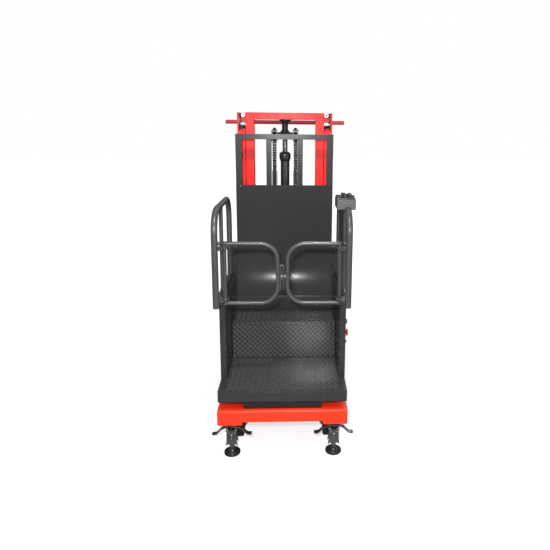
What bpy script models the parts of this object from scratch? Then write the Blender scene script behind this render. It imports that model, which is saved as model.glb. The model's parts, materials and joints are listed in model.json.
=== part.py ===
"""Order picker: a hand-pushed base on casters, a two-stage roller mast with one lift cylinder and two
chains, and a caged standing platform with a step, side rails and two swinging gates.

Metres, +Z up, +X to the driver's right when looking in from the front, +Y to the rear. The origin is
on the floor, under the middle of the machine. Depths are given as distances behind the base's front
face and turned into Y by at().
"""

from math import cos, pi, radians, sin

import bmesh
import bpy
from mathutils import Matrix, Vector

for old in list(bpy.data.objects):
    bpy.data.objects.remove(old, do_unlink=True)

# Driving sizes
LENGTH = 1.260
GAP = 0.0003

# Base: box beams, with deeper boxes at the front corners
BASE_HALF = 0.333
BEAM = 0.060
FRONT_DEEP = 0.066
BASE_TOP = 0.272
BASE_LOW = 0.207
MOUNT_LOW = 0.189
CORNER_WIDE = 0.128
CORNER_DEEP = 0.104
BASE_END = 1.200
FOOT_FROM, FOOT_TO = 0.770, 0.900
BUFFER_TOP = 0.305

# Casters and floor locks
WHEEL_R = 0.070
WHEEL_WIDE = 0.045
FRONT_SWIVEL = (0.240, 0.195)
TRAIL = 0.026
REAR_WHEEL = (0.275, 1.120)
LOCK = (0.2665, 0.060)
LOCK_LOW = 0.052
LOCK_TOP = 0.142
PAD_R = 0.043
PAD_HIGH = 0.015
SPINDLE_R = 0.0135
PEDAL_THICK = 0.0065

# Mast: (near, far) distances from the middle for the beams of each side
MAST_FRONT = 0.779
MAST_TOP = 1.778
INNER_LOW = 0.278
INNER_X = (0.189, 0.237)
INNER_DEEP = 0.100
INNER_FLANGE = 0.010
INNER_WEB = 0.009
OUTER_X = (0.242, 0.289)
OUTER_FRONT = 0.785
OUTER_DEEP = 0.100
OUTER_WALL = 0.009
FLANGE_CUT = 1.670
TIE_DEEP = 0.035
ROLLER_R = 0.035
TOP_BEAM_LOW = 1.738
MAST_MID = MAST_FRONT + INNER_DEEP / 2
OUTER_MID = OUTER_FRONT + OUTER_DEEP / 2

# Lift cylinder, rod, crosshead and chains
BARREL_R = 0.028
BARREL_BORE = 0.020
BARREL_TOP = 1.490
GLAND_R = 0.0355
GLAND_TOP = 1.542
ROD_R = 0.0155
ROD_LOW = 0.290
HEAD_LOW, HEAD_TOP = 1.622, 1.661
POST_R = 0.0195
POST_FLANGE = 0.035
CLAMP_LOW, CLAMP_TOP = 1.270, 1.310
CHAIN_X = 0.065
CHAIN_PITCH = 0.015875
CHAIN_PIN = (0.011, 0.0040)
CHAIN_WAIST = (0.0088, 0.0029)
FRONT_LINKS, REAR_LINKS = 20, 45
CHAIN_LOW = (0.330, 0.280)
SHEAVE_R = 0.028
SHEAVE_Z = 1.630

# Platform
DECK_TOP = 0.377
DECK_LOW = 0.315
DECK_HALF = 0.328
DECK_FRONT = 0.0085
SHEET = 0.004
PAN_TOP = DECK_TOP - SHEET - GAP
RISER = 0.388
STEP_TOP = 0.596
STEP_BACK = 0.644
COVE_R = 0.074
COVE_FRONT = STEP_BACK - COVE_R
SIDE_IN = 0.300
SIDE_OUT = 0.328
SIDE_FRONT, SIDE_BACK = 0.139, 0.640
SIDE_TOP = 0.813
UPRIGHT_X = (0.249, 0.287)
UPRIGHT_Y = (0.650, 0.690)
FRAME_TOP = 1.651
FLAT_X = (0.076, 0.108)
PANEL_TOP = 1.353
PANEL_LOW = STEP_TOP + COVE_R
WING_LOW, WING_TOP = 0.600, 0.975
TIE_Z = (0.860, 0.940)

# Rails and gates
RAIL_X = 0.323
RAIL_R = 0.016
LOW_RAIL_R = 0.0145
RAIL_NEAR, RAIL_FAR, RAIL_MID = 0.0185, 0.5715, 0.252
RAIL_TOP = 1.291
RAIL_LOW = 0.816
RAIL_BEND = 0.110
GATE_Y = 0.0685
GATE_R = 0.0105
HINGE_X = 0.284
GATE_TOP, GATE_LOW = 1.128, 0.8245
GATE_BEND = 0.085
GATE_LEG = 0.024
LATCH_R = 0.0042
LATCH_TOP, LATCH_LOW = 1.019, 0.893

SIDES = (("left", -1), ("right", 1))


def at(behind):
    """Y of a place this far behind the base's front face."""
    return behind - LENGTH / 2


def paint(name, colour, rough, metal=0.0):
    """A plain Principled material."""
    made = bpy.data.materials.new(name)
    made.use_nodes = True
    shader = made.node_tree.nodes["Principled BSDF"]
    shader.inputs["Base Color"].default_value = (*colour, 1)
    shader.inputs["Roughness"].default_value = rough
    shader.inputs["Metallic"].default_value = metal
    return made


ORANGE = paint("base_orange_red", (0.90, 0.060, 0.022), 0.35)
RED = paint("mast_red", (0.82, 0.055, 0.045), 0.35)
GREY = paint("frame_dark_grey", (0.052, 0.052, 0.055), 0.32)
CHROME = paint("chrome", (0.75, 0.75, 0.76), 0.12, 1.0)
STEEL = paint("zinc_steel", (0.52, 0.53, 0.55), 0.35, 1.0)
CHAIN = paint("oiled_chain", (0.055, 0.050, 0.048), 0.45, 0.8)
RUBBER = paint("black_rubber", (0.018, 0.018, 0.018), 0.75)
TREAD = paint("wheel_polyurethane", (0.030, 0.030, 0.032), 0.55)
PLASTIC = paint("black_plastic", (0.022, 0.022, 0.023), 0.5)


def from_bmesh(name, mesh):
    """A new object of this bmesh, with round faces shaded smooth."""
    bmesh.ops.recalc_face_normals(mesh, faces=mesh.faces)
    data = bpy.data.meshes.new(name)
    mesh.to_mesh(data)
    mesh.free()
    data.shade_smooth()
    data.set_sharp_from_angle(angle=radians(35))
    made = bpy.data.objects.new(name, data)
    bpy.context.scene.collection.objects.link(made)
    return made


def block(x, y, z, bevel=0.0):
    """A box from three (low, high) pairs, with its edges rounded by one small chamfer."""
    mesh = bmesh.new()
    bmesh.ops.create_cube(mesh, size=1.0)
    for corner in mesh.verts:
        corner.co = [low + (high - low) * (place + 0.5)
                     for place, (low, high) in zip(corner.co, (x, y, z))]
    if bevel:
        bmesh.ops.bevel(mesh, geom=mesh.edges[:], offset=bevel, segments=1, affect="EDGES")
    return from_bmesh("block", mesh)


def prism(outline, low, high, axis="Z"):
    """An outline of two coordinates, extruded along the third axis from low to high."""
    place = {
        "Z": lambda a, b, c: (a, b, c),
        "Y": lambda a, b, c: (a, c, b),
        "X": lambda a, b, c: (c, a, b),
    }[axis]
    mesh = bmesh.new()
    face = mesh.faces.new([mesh.verts.new(place(a, b, low)) for a, b in outline])
    grown = bmesh.ops.extrude_face_region(mesh, geom=[face])["geom"]
    for corner in (item for item in grown if isinstance(item, bmesh.types.BMVert)):
        corner.co += Vector(place(0, 0, high - low))
    return from_bmesh("prism", mesh)


def turned(profile, centre, axis="Z", steps=20):
    """A closed profile of (radius, place along the axis) spun round that axis."""
    mesh = bmesh.new()
    rings = []
    for turn in range(steps):
        angle = 2 * pi * turn / steps
        rings.append([
            mesh.verts.new((radius * cos(angle), radius * sin(angle), along)) if radius else None
            for radius, along in profile
        ])
    poles = {n: mesh.verts.new((0, 0, along))
             for n, (radius, along) in enumerate(profile) if not radius}
    for ring, following in zip(rings, rings[1:] + rings[:1]):
        for n in range(len(profile)):
            m = (n + 1) % len(profile)
            if n in poles and m in poles:
                continue
            if n in poles:
                mesh.faces.new((poles[n], ring[m], following[m]))
            elif m in poles:
                mesh.faces.new((ring[n], poles[m], following[n]))
            else:
                mesh.faces.new((ring[n], ring[m], following[m], following[n]))
    turn = {"Z": Matrix(), "X": Matrix.Rotation(pi / 2, 4, "Y"), "Y": Matrix.Rotation(-pi / 2, 4, "X")}
    mesh.transform(Matrix.Translation(centre) @ turn[axis])
    return from_bmesh("turned", mesh)


def lofted(sections):
    """A closed solid through sections of four corners each, with flat ends."""
    mesh = bmesh.new()
    rings = [[mesh.verts.new(corner) for corner in section] for section in sections]
    for ring, following in zip(rings, rings[1:]):
        for n in range(4):
            m = (n + 1) % 4
            mesh.faces.new((ring[n], ring[m], following[m], following[n]))
    mesh.faces.new(rings[0])
    mesh.faces.new(rings[-1][::-1])
    return from_bmesh("lofted", mesh)


def rod(radius, start, length, axis="Z", steps=20):
    """A round bar from a start point along +axis."""
    return turned([(0, 0), (radius, 0), (radius, length), (0, length)], start, axis, steps)


def rounded(points, bend, steps=5):
    """The path through these points, with each inner corner an arc of this radius."""
    path = [Vector(points[0])]
    for before, corner, after in zip(points, points[1:], points[2:]):
        corner = Vector(corner)
        into = (corner - Vector(before)).normalized()
        out = (Vector(after) - corner).normalized()
        half = into.angle(out) / 2
        reach = bend * (sin(half) / cos(half))
        start = corner - into * reach
        middle = start + (out - into * into.dot(out)).normalized() * bend
        spin = into.cross(out).normalized()
        for n in range(steps + 1):
            swing = Matrix.Rotation(2 * half * n / steps, 3, spin)
            path.append(middle + swing @ (start - middle))
    path.append(Vector(points[-1]))
    return path


def tube(points, radius, bend=0.0, sides=12, steps=5):
    """A round bar along a path, as a mesh with flat ends."""
    path = rounded(points, bend, steps) if bend else [Vector(p) for p in points]
    curve = bpy.data.curves.new("tube", "CURVE")
    curve.dimensions = "3D"
    curve.bevel_depth = radius
    curve.bevel_resolution = (sides - 4) // 2
    curve.use_fill_caps = True
    spline = curve.splines.new("POLY")
    spline.points.add(len(path) - 1)
    for spot, place in zip(spline.points, path):
        spot.co = (*place, 1)
    guide = bpy.data.objects.new("tube", curve)
    bpy.context.scene.collection.objects.link(guide)
    graph = bpy.context.evaluated_depsgraph_get()
    mesh = bmesh.new()
    mesh.from_mesh(bpy.data.meshes.new_from_object(guide.evaluated_get(graph)))
    bmesh.ops.remove_doubles(mesh, verts=mesh.verts, dist=1e-6)
    bpy.data.objects.remove(guide)
    return from_bmesh("tube", mesh)


def fuse(first, joined=(), cut=()):
    """The first solid with the others joined to it and the cutters taken away, as one mesh."""
    for operation, others in (("UNION", joined), ("DIFFERENCE", cut)):
        for other in others:
            change = first.modifiers.new(operation, "BOOLEAN")
            change.operation = operation
            change.solver = "EXACT"
            change.object = other
    graph = bpy.context.evaluated_depsgraph_get()
    mesh = bmesh.new()
    mesh.from_mesh(bpy.data.meshes.new_from_object(first.evaluated_get(graph)))
    for used in (first, *joined, *cut):
        bpy.data.objects.remove(used)
    return from_bmesh("fused", mesh)


def node(name, shape, material):
    """Names a finished solid and paints it."""
    shape.name = shape.data.name = name
    shape.data.materials.clear()
    shape.data.materials.append(material)
    return shape


def pivot(name, place, shapes, parent=None):
    """An empty on a joint's axis that carries these solids."""
    carrier = bpy.data.objects.new(name, None)
    bpy.context.scene.collection.objects.link(carrier)
    carrier.location = Vector(place) - (Vector(parent.matrix_world.translation) if parent else Vector())
    carrier.parent = parent
    bpy.context.view_layer.update()
    for shape in shapes:
        shape.data.transform(Matrix.Translation(-Vector(place)))
        shape.parent = carrier
    return carrier


def span(side, near, far):
    """An X range on one side of the machine, low value first."""
    return tuple(sorted((side * near, side * far)))


def deep(front, back):
    """A Y range from two distances behind the base's front face."""
    return at(front), at(back)


def base():
    """Front beam with its corner boxes, two side beams, the mast foot and the rear beam with its tray."""
    beam = block((-BASE_HALF, BASE_HALF), deep(0, FRONT_DEEP), (BASE_LOW, BASE_TOP), 0.006)
    corners = [block(span(side, BASE_HALF - CORNER_WIDE, BASE_HALF), deep(0, CORNER_DEEP),
                     (MOUNT_LOW, BASE_TOP), 0.006) for _, side in SIDES]
    node("front_beam", fuse(beam, corners), ORANGE)
    for name, side in SIDES:
        beam = block(span(side, BASE_HALF - BEAM, BASE_HALF), deep(CORNER_DEEP + GAP, BASE_END),
                     (BASE_LOW, BASE_TOP), 0.004)
        front = block(span(side, 0.165, BASE_HALF - 0.002), deep(CORNER_DEEP + GAP, 0.290),
                      (MOUNT_LOW, BASE_LOW + 0.001))
        rear = block(span(side, 0.225, BASE_HALF - 0.002), deep(1.050, BASE_END - 0.002),
                     (MOUNT_LOW, BASE_LOW + 0.001))
        node(f"side_beam_{name}", fuse(beam, (front, rear)), ORANGE)
    inside = BASE_HALF - BEAM - GAP
    node("mast_foot", block((-inside, inside), deep(FOOT_FROM, FOOT_TO), (BASE_LOW, BASE_TOP)), ORANGE)
    tray = block((-inside, inside), deep(FOOT_TO + GAP, BASE_END - 0.01), (BASE_TOP - 0.010, BASE_TOP))
    beam = block((-inside, inside), deep(BASE_END - BEAM, BASE_END), (BASE_LOW + 0.002, BASE_TOP), 0.004)
    node("rear_beam", fuse(beam, [tray]), ORANGE)
    buffer = block((-0.200, 0.200), deep(0.022, 0.060), (BASE_TOP + GAP, BUFFER_TOP), 0.002)
    node("front_buffer", buffer, RUBBER)


def fork_shape(x, y_axle, y_top):
    """A pressed caster fork: head plate, swivel race and two cheeks reaching down past the axle."""
    top = MOUNT_LOW - GAP
    half = WHEEL_WIDE / 2 + 0.004
    cheeks = []
    for side in (-1, 1):
        outline = [
            (at(y_top - 0.030), top - 0.014),
            (at(y_top + 0.030), top - 0.014),
            (at(y_axle + 0.016), WHEEL_R - 0.004),
            (at(y_axle + 0.009), WHEEL_R - 0.014),
            (at(y_axle - 0.009), WHEEL_R - 0.014),
            (at(y_axle - 0.016), WHEEL_R - 0.004),
        ]
        cheeks.append(prism(outline, *sorted((x + side * half, x + side * (half + 0.004))), "X"))
    crown = block((x - half - 0.004, x + half + 0.004), deep(y_top - 0.032, y_top + 0.032),
                  (top - 0.020, top - 0.014 + 0.001))
    race = rod(0.030, (x, at(y_top), top - 0.016), 0.010)
    plate = block((x - 0.042, x + 0.042), deep(y_top - 0.050, y_top + 0.050), (top - 0.007, top))
    axle = rod(0.006, (x - half - 0.009, at(y_axle), WHEEL_R), 2 * half + 0.018, "X", 12)
    return fuse(plate, [race, crown, *cheeks, axle])


def wheel_shape(x, y):
    """Tyre, rim and hub in one turned body with a clear bore round the axle."""
    half = WHEEL_WIDE / 2
    face = [(0.0075, half - 0.002), (0.022, half - 0.002), (0.048, half - 0.008), (WHEEL_R - 0.006, half),
            (WHEEL_R, half - 0.007)]
    profile = [(radius, -along) for radius, along in face] + face[::-1]
    return turned(profile, (x, at(y), WHEEL_R), "X", 24)


def casters():
    """Two swivelling casters in front and two fixed ones behind, a fork and a wheel each."""
    for name, side in SIDES:
        x, y = side * FRONT_SWIVEL[0], FRONT_SWIVEL[1]
        fork = node(f"front_fork_{name}", fork_shape(x, y + TRAIL, y), STEEL)
        swivel = pivot(f"front_swivel_{name}", (x, at(y), MOUNT_LOW), [fork])
        wheel = node(f"front_wheel_{name}", wheel_shape(x, y + TRAIL), TREAD)
        pivot(f"front_axle_{name}", (x, at(y + TRAIL), WHEEL_R), [wheel], swivel)
        x, y = side * REAR_WHEEL[0], REAR_WHEEL[1]
        node(f"rear_fork_{name}", fork_shape(x, y, y), STEEL)
        wheel = node(f"rear_wheel_{name}", wheel_shape(x, y), TREAD)
        pivot(f"rear_axle_{name}", (x, at(y), WHEEL_R), [wheel])


def floor_locks():
    """A pedal-worked foot under each front corner: bolted sleeve, cheeks and pedals, and a sliding pad."""
    under = MOUNT_LOW - GAP
    cheek = 0.0205
    bore = SPINDLE_R + 0.003
    for name, side in SIDES:
        x, y = side * LOCK[0], LOCK[1]
        centre = (x, at(y), 0)
        low = LOCK_LOW + 0.004
        sleeve = turned([(bore, low), (0.0215, low), (0.0215, LOCK_TOP - 0.002), (0, LOCK_TOP - 0.002),
                         (0, 0.130), (bore, 0.130)], centre, steps=16)
        pieces = [block((x - 0.029, x + 0.029), deep(y - 0.0255, y + 0.0255), (LOCK_TOP - 0.005, LOCK_TOP))]
        for way in (-1, 1):
            outline = [(x - 0.0255, LOCK_TOP - 0.003), (x + 0.0255, LOCK_TOP - 0.003), (x + 0.027, 0.082),
                       (x + 0.031, LOCK_LOW), (x + 0.021, LOCK_LOW + 0.011), (x - 0.021, LOCK_LOW + 0.011),
                       (x - 0.031, LOCK_LOW), (x - 0.027, 0.082)]
            face = at(y + way * cheek)
            pieces.append(prism(outline, face - 0.0025, face + 0.0025, "Y"))
            pieces += [rod(0.0045, (x + across, at(y + way * 0.020), LOCK_TOP - 0.003),
                           under - LOCK_TOP + 0.003, steps=8) for across in (-0.021, 0.021)]
            pieces.append(rod(0.007, (x, at(y + way * 0.0245 - 0.003), 0.098), 0.006, "Y", 8))
        pieces.append(rod(0.0085, (x, at(y), LOCK_TOP - 0.003), under - LOCK_TOP + 0.003, steps=10))
        half = [(0.014, 0.1570), (0.030, 0.1545), (0.043, 0.1505), (0.055, 0.1425), (0.067, 0.1290),
                (0.079, 0.1175), (0.090, 0.1145), (0.103, 0.1150)]
        bend = [(-reach, z) for reach, z in reversed(half)] + half
        below = [(reach, z - PEDAL_THICK) for reach, z in reversed(bend)]
        pieces.append(prism([(x + reach, z) for reach, z in bend + below], at(y - 0.012), at(y + 0.012), "Y"))
        node(f"lock_housing_{name}", fuse(sleeve, pieces), STEEL)
        pad = turned([(0, 0), (PAD_R - 0.002, 0), (PAD_R, 0.003), (PAD_R, 0.008), (0.034, PAD_HIGH),
                      (SPINDLE_R, PAD_HIGH), (SPINDLE_R, 0.100), (0, 0.100)], centre)
        pivot(f"lock_slide_{name}", centre, [node(f"lock_foot_{name}", pad, RUBBER)])


def outer_mast():
    """Fixed channels open to the inside, each with a top guide roller on its bracket, tied behind."""
    for name, side in SIDES:
        near, far = OUTER_X
        front, back, wall = OUTER_FRONT, OUTER_FRONT + OUTER_DEEP, OUTER_WALL
        outline = [(near, front), (far, front), (far, back), (near, back), (near, back - wall),
                   (far - wall, back - wall), (far - wall, front + wall), (near, front + wall)]
        channel = prism([(side * x, at(y)) for x, y in outline], BASE_TOP + GAP, MAST_TOP)
        notch = block(span(side, near - 0.01, far - wall - 0.0005), deep(front - 0.01, front + wall + 0.006),
                      (FLANGE_CUT, MAST_TOP + 0.01))
        node(f"outer_mast_{name}", fuse(channel, cut=[notch]), RED)
        node(f"top_guide_{name}", top_guide(side, far - wall - GAP), STEEL)
    half, end = OUTER_X[1], OUTER_X[0]
    back = OUTER_FRONT + OUTER_DEEP
    outline = [(-half, back + GAP), (-end, back + GAP), (-end, back + 0.009), (end, back + 0.009),
               (end, back + GAP), (half, back + GAP), (half, back + TIE_DEEP), (-half, back + TIE_DEEP)]
    for name, low in (("low", 0.300), ("mid", 0.950)):
        node(f"outer_tie_{name}", prism([(x, at(y)) for x, y in outline], low, low + 0.060), RED)
    bar = rod(0.0125, (-0.372, at(back + GAP + 0.0125), 1.723), 0.744, "X", 16)
    node("loading_bar", bar, RED)


def top_guide(side, web):
    """A bracket on the channel's web: the roller that runs in the inner beam, and an eye above it."""
    plate = block(span(side, web - 0.006, web), deep(0.798, 0.866), (1.682, MAST_TOP - 0.001))
    lug = block(span(side, 0.2545, web - 0.004), deep(0.800, 0.806), (1.754, 1.772))
    eye = turned([(0.0045, 0), (0.0135, 0), (0.0135, 0.012), (0.0045, 0.012)],
                 (side * 0.2535, at(0.796), 1.7635), "Y", 12)
    return fuse(plate, [roller(side, MAST_MID, 1.708, ROLLER_R, 0.222, 0.243, web - 0.003), lug, eye])


def roller(side, behind, z, radius, near, far, hold, shank=0.020):
    """A mast roller from near to far across the mast, with its shank reaching on to hold."""
    profile = [(0, near), (radius, near), (radius, far), (shank, far), (shank, hold), (0, hold)]
    return turned([(r, side * along) for r, along in profile], (0, at(behind), z), "X", 24)


def inner_mast():
    """Lifting frame of two H beams with rollers low on their outer side, a top beam and a low tie."""
    for name, side in SIDES:
        near, far = INNER_X
        web = (near + far) / 2
        front, back = MAST_FRONT, MAST_FRONT + INNER_DEEP
        low, high = web - INNER_WEB / 2, web + INNER_WEB / 2
        outline = [(near, front), (far, front), (far, front + INNER_FLANGE), (high, front + INNER_FLANGE),
                   (high, back - INNER_FLANGE), (far, back - INNER_FLANGE), (far, back), (near, back),
                   (near, back - INNER_FLANGE), (low, back - INNER_FLANGE), (low, front + INNER_FLANGE),
                   (near, front + INNER_FLANGE)]
        beam = prism([(side * x, at(y)) for x, y in outline], INNER_LOW, MAST_TOP)
        rollers = [roller(side, OUTER_MID, z, 0.036, 0.274, 0.2435, high - 0.002, 0.015)
                   for z in (0.325, 0.470)]
        node(f"inner_mast_{name}", fuse(beam, rollers), RED)
    inside = INNER_X[0] - GAP
    wall = 0.008
    front, back = at(MAST_FRONT), at(MAST_FRONT + INNER_DEEP)
    outline = [(front, MAST_TOP), (front, TOP_BEAM_LOW), (back, TOP_BEAM_LOW), (back, MAST_TOP),
               (back - wall, MAST_TOP), (back - wall, TOP_BEAM_LOW + wall),
               (front + wall, TOP_BEAM_LOW + wall), (front + wall, MAST_TOP)]
    node("inner_top_beam", prism(outline, -inside, inside, "X"), RED)
    half = INNER_X[1] - 0.002
    back = MAST_FRONT + INNER_DEEP
    node("inner_tie", block((-half, half), deep(back + GAP, back + GAP + 0.006), (0.285, 0.345)), RED)


def lift():
    """Cylinder with its gland, rod, crosshead, both chains and the fixed chain anchor."""
    centre = (0, at(MAST_MID), 0)
    foot = BASE_TOP + GAP
    inside = ROD_R + 0.001
    barrel = turned([(0, foot), (0.050, foot), (0.050, foot + 0.010), (BARREL_R, foot + 0.010),
                     (BARREL_R, BARREL_TOP - 0.004), (GLAND_R - 0.002, BARREL_TOP + 0.004),
                     (GLAND_R, BARREL_TOP + 0.016), (GLAND_R, GLAND_TOP - 0.016),
                     (GLAND_R - 0.006, GLAND_TOP - 0.005), (GLAND_R - 0.013, GLAND_TOP), (inside, GLAND_TOP),
                     (inside, BARREL_TOP), (BARREL_BORE, BARREL_TOP), (BARREL_BORE, foot + 0.012),
                     (0, foot + 0.012)], centre)
    node("lift_cylinder", barrel, GREY)
    node("piston_rod", rod(ROD_R, (0, at(MAST_MID), ROD_LOW), HEAD_LOW - GAP - ROD_LOW), CHROME)
    node("crosshead", crosshead(centre), GREY)
    for name, side in SIDES:
        node(f"chain_{name}", chain_shape(side * CHAIN_X), CHAIN)

    clamp = turned([(BARREL_R - 0.002, CLAMP_LOW), (BARREL_R + 0.010, CLAMP_LOW),
                    (BARREL_R + 0.010, CLAMP_TOP), (BARREL_R - 0.002, CLAMP_TOP)], centre)
    arms = []
    for side in (-1, 1):
        arms.append(block(span(side, 0.020, CHAIN_X + 0.0155), deep(MAST_MID + 0.013, MAST_MID + 0.021),
                          (CLAMP_LOW + 0.005, CLAMP_TOP - 0.005)))
        for near, far in ((-0.016, -0.013), (0.013, 0.016)):
            arms.append(block(span(side, CHAIN_X + near, CHAIN_X + far),
                              deep(MAST_MID + 0.017, MAST_MID + 0.044), (CLAMP_LOW, 1.420)))
    bore = rod(BARREL_R + GAP, (0, at(MAST_MID), CLAMP_LOW - 0.05), 0.2)
    node("chain_anchor", fuse(clamp, arms, [bore]), GREY)


def crosshead(centre):
    """The rod's head: a bar with a flared post up to the top beam, and a bolted fork for each sheave."""
    bar = block((0.0155 - CHAIN_X, CHAIN_X - 0.0155), deep(MAST_MID - 0.018, MAST_MID + 0.018),
                (HEAD_LOW, HEAD_TOP))
    under = TOP_BEAM_LOW - GAP
    post = turned([(0, HEAD_TOP - 0.002), (0.034, HEAD_TOP - 0.002), (0.034, HEAD_TOP + 0.002),
                   (POST_R + 0.004, HEAD_TOP + 0.008), (POST_R, HEAD_TOP + 0.017), (POST_R, under - 0.013),
                   (POST_FLANGE, under - 0.009), (POST_FLANGE, under), (0, under)], centre, steps=16)
    pieces = [post]
    for side in (-1, 1):
        for near, far in ((-0.017, -0.014), (0.014, 0.018)):
            pieces.append(block(span(side, CHAIN_X + near, CHAIN_X + far),
                                deep(MAST_MID - 0.022, MAST_MID + 0.022), (1.604, 1.675)))
        pieces.append(block(span(side, CHAIN_X - 0.0175, CHAIN_X + 0.0185),
                            deep(MAST_MID - 0.0225, MAST_MID + 0.0225), (1.670, 1.6765)))
        pieces.append(rod(0.0105, (side * CHAIN_X, at(MAST_MID), 1.674), 0.016, "Z", 6))
        hub = (side * CHAIN_X, at(MAST_MID), SHEAVE_Z)
        pieces.append(turned([(0, -0.011), (SHEAVE_R - GAP, -0.011), (SHEAVE_R - GAP, 0.011), (0, 0.011)],
                             hub, "X", 24))
        pieces.append(turned([(0, -0.0175), (0.008, -0.0175), (0.008, 0.0205), (0, 0.0205)], hub, "X", 10))
    return fuse(bar, pieces)


def chain_shape(x):
    """A leaf chain over its sheave: pins at each pitch with a waist between; runs out of sight are plain."""
    middle = SHEAVE_R + CHAIN_PIN[1]
    low_front, low_rear = CHAIN_LOW
    half_pitch = CHAIN_PITCH / 2
    stations = [(0.0, low_front - SHEAVE_Z, 0)]
    stations += [(0.0, -n * half_pitch, n) for n in range(2 * FRONT_LINKS, 0, -1)]
    stations += [(pi * n / 12, 0.0, n) for n in range(13)]
    stations += [(pi, -n * half_pitch, n) for n in range(1, 2 * REAR_LINKS + 1)]
    stations += [(pi, low_rear - SHEAVE_Z, 0)]
    sections = []
    for turn, drop, count in stations:
        wide, thick = CHAIN_WAIST if count % 2 else CHAIN_PIN
        corners = []
        for across, out in ((-wide, -thick), (wide, -thick), (wide, thick), (-wide, thick)):
            reach = middle + out
            corners.append((x + across, at(MAST_MID) - reach * cos(turn),
                            SHEAVE_Z + drop + reach * sin(turn)))
        sections.append(corners)
    return lofted(sections)


def carriage():
    """Roller plates inside the mast with the arms under the deck, two cross bars and the chain bar."""
    made = []
    for name, side in SIDES:
        near, far = span(side, 0.150, 0.162)
        outline = [(at(0.7085), 0.302), (at(0.866), 0.302), (at(0.866), 0.575), (at(0.800), 0.575),
                   (at(0.7085), 0.560)]
        pieces = [block(span(side, 0.150, 0.190), deep(0.100, 0.730), (0.316, 0.362))]
        pieces += [roller(side, MAST_MID, z, ROLLER_R, 0.2055, 0.1905, 0.157, 0.015) for z in (0.345, 0.530)]
        plate = prism(outline, near, far, "X")
        made.append(node(f"carriage_{name}", fuse(plate, pieces), GREY))
    behind = UPRIGHT_Y[1] + GAP
    for name, low, high in (("low", 0.370, 0.440), ("high", 0.500, 0.556)):
        bar = block((-UPRIGHT_X[1], UPRIGHT_X[1]), deep(behind, 0.708), (low, high))
        made.append(node(f"carriage_bar_{name}", bar, GREY))
    lugs = []
    for side in (-1, 1):
        for near, far in ((-0.016, -0.013), (0.013, 0.016)):
            lugs.append(block(span(side, CHAIN_X + near, CHAIN_X + far),
                              deep(MAST_MID - 0.049, MAST_MID - 0.026), (0.392, 0.430)))
    bar = block((GAP - 0.150, 0.150 - GAP), deep(MAST_MID - 0.070, MAST_MID - 0.045), (0.390, 0.432))
    made.append(node("chain_bar", fuse(bar, lugs), GREY))
    return made


def platform():
    """Deck pan with its tread plate, step box, side plates, back frame and panels, rails."""
    made = carriage()
    pan = block((-DECK_HALF, DECK_HALF), deep(DECK_FRONT, SIDE_BACK), (DECK_LOW, PAN_TOP), 0.003)
    hollow = block((-DECK_HALF + SHEET, DECK_HALF - SHEET), deep(DECK_FRONT + SHEET, SIDE_BACK + 0.1),
                   (DECK_LOW - 0.01, PAN_TOP - SHEET))
    made.append(node("deck", fuse(pan, cut=[hollow]), GREY))
    inside = SIDE_IN - 0.0035
    front, side_edge, back = at(DECK_FRONT), at(SIDE_FRONT - 0.0005), at(RISER - GAP)
    outline = [(-DECK_HALF, front), (DECK_HALF, front), (DECK_HALF, side_edge), (inside, side_edge),
               (inside, back), (-inside, back), (-inside, side_edge), (-DECK_HALF, side_edge)]
    made.append(node("tread_plate", prism(outline, PAN_TOP + GAP, DECK_TOP), GREY))

    half = SIDE_IN - 0.004
    box = block((-half, half), deep(RISER, COVE_FRONT - GAP), (PAN_TOP + GAP, STEP_TOP), 0.003)
    hollow = block((-half + SHEET, half - SHEET), deep(RISER + SHEET, COVE_FRONT + 0.1),
                   (PAN_TOP - 0.01, STEP_TOP - SHEET))
    made.append(node("step_box", fuse(box, cut=[hollow]), GREY))

    for name, side in SIDES:
        near, far = SIDE_IN - 0.003, SIDE_OUT
        outer = block(span(side, near, far), deep(SIDE_FRONT, SIDE_BACK), (PAN_TOP + GAP, SIDE_TOP))
        hollow = block(span(side, SIDE_IN, far + 0.05), deep(SIDE_FRONT + 0.003, SIDE_BACK - 0.003),
                       (PAN_TOP - 0.05, SIDE_TOP - 0.003))
        made.append(node(f"side_plate_{name}", fuse(outer, cut=[hollow]), GREY))

    uprights = [block(span(side, *UPRIGHT_X), deep(*UPRIGHT_Y), (0.310, FRAME_TOP)) for _, side in SIDES]
    cross = block((-0.270, 0.270), deep(0.654, 0.686), (1.620, FRAME_TOP - 0.0005))
    flats = [block(span(side, *FLAT_X), deep(0.660, 0.668), (0.620, 1.630)) for _, side in SIDES]
    sill = block((-0.270, 0.270), deep(0.656, 0.686), (0.600, 0.640))
    wings = [block(span(side, 0.284, 0.336), deep(0.6515, 0.664), (WING_LOW, WING_TOP)) for _, side in SIDES]
    made.append(node("back_frame", fuse(uprights[0], [cross, uprights[1], sill, *flats, *wings]), GREY))
    panel = block((-UPRIGHT_X[1], UPRIGHT_X[1]), deep(STEP_BACK, UPRIGHT_Y[0] - GAP),
                  (PANEL_LOW + 0.001, PANEL_TOP), 0.001)
    made.append(node("back_panel", panel, GREY))
    arc = [[(at(COVE_FRONT + radius * sin(turn)), PANEL_LOW - radius * cos(turn))
            for turn in (radians(step * 9) for step in range(11))] for radius in (COVE_R, COVE_R + SHEET)]
    made.append(node("kick_plate", prism(arc[0] + arc[1][::-1], -half, half, "X"), GREY))
    return made + [rail(name, side) for name, side in SIDES]


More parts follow.
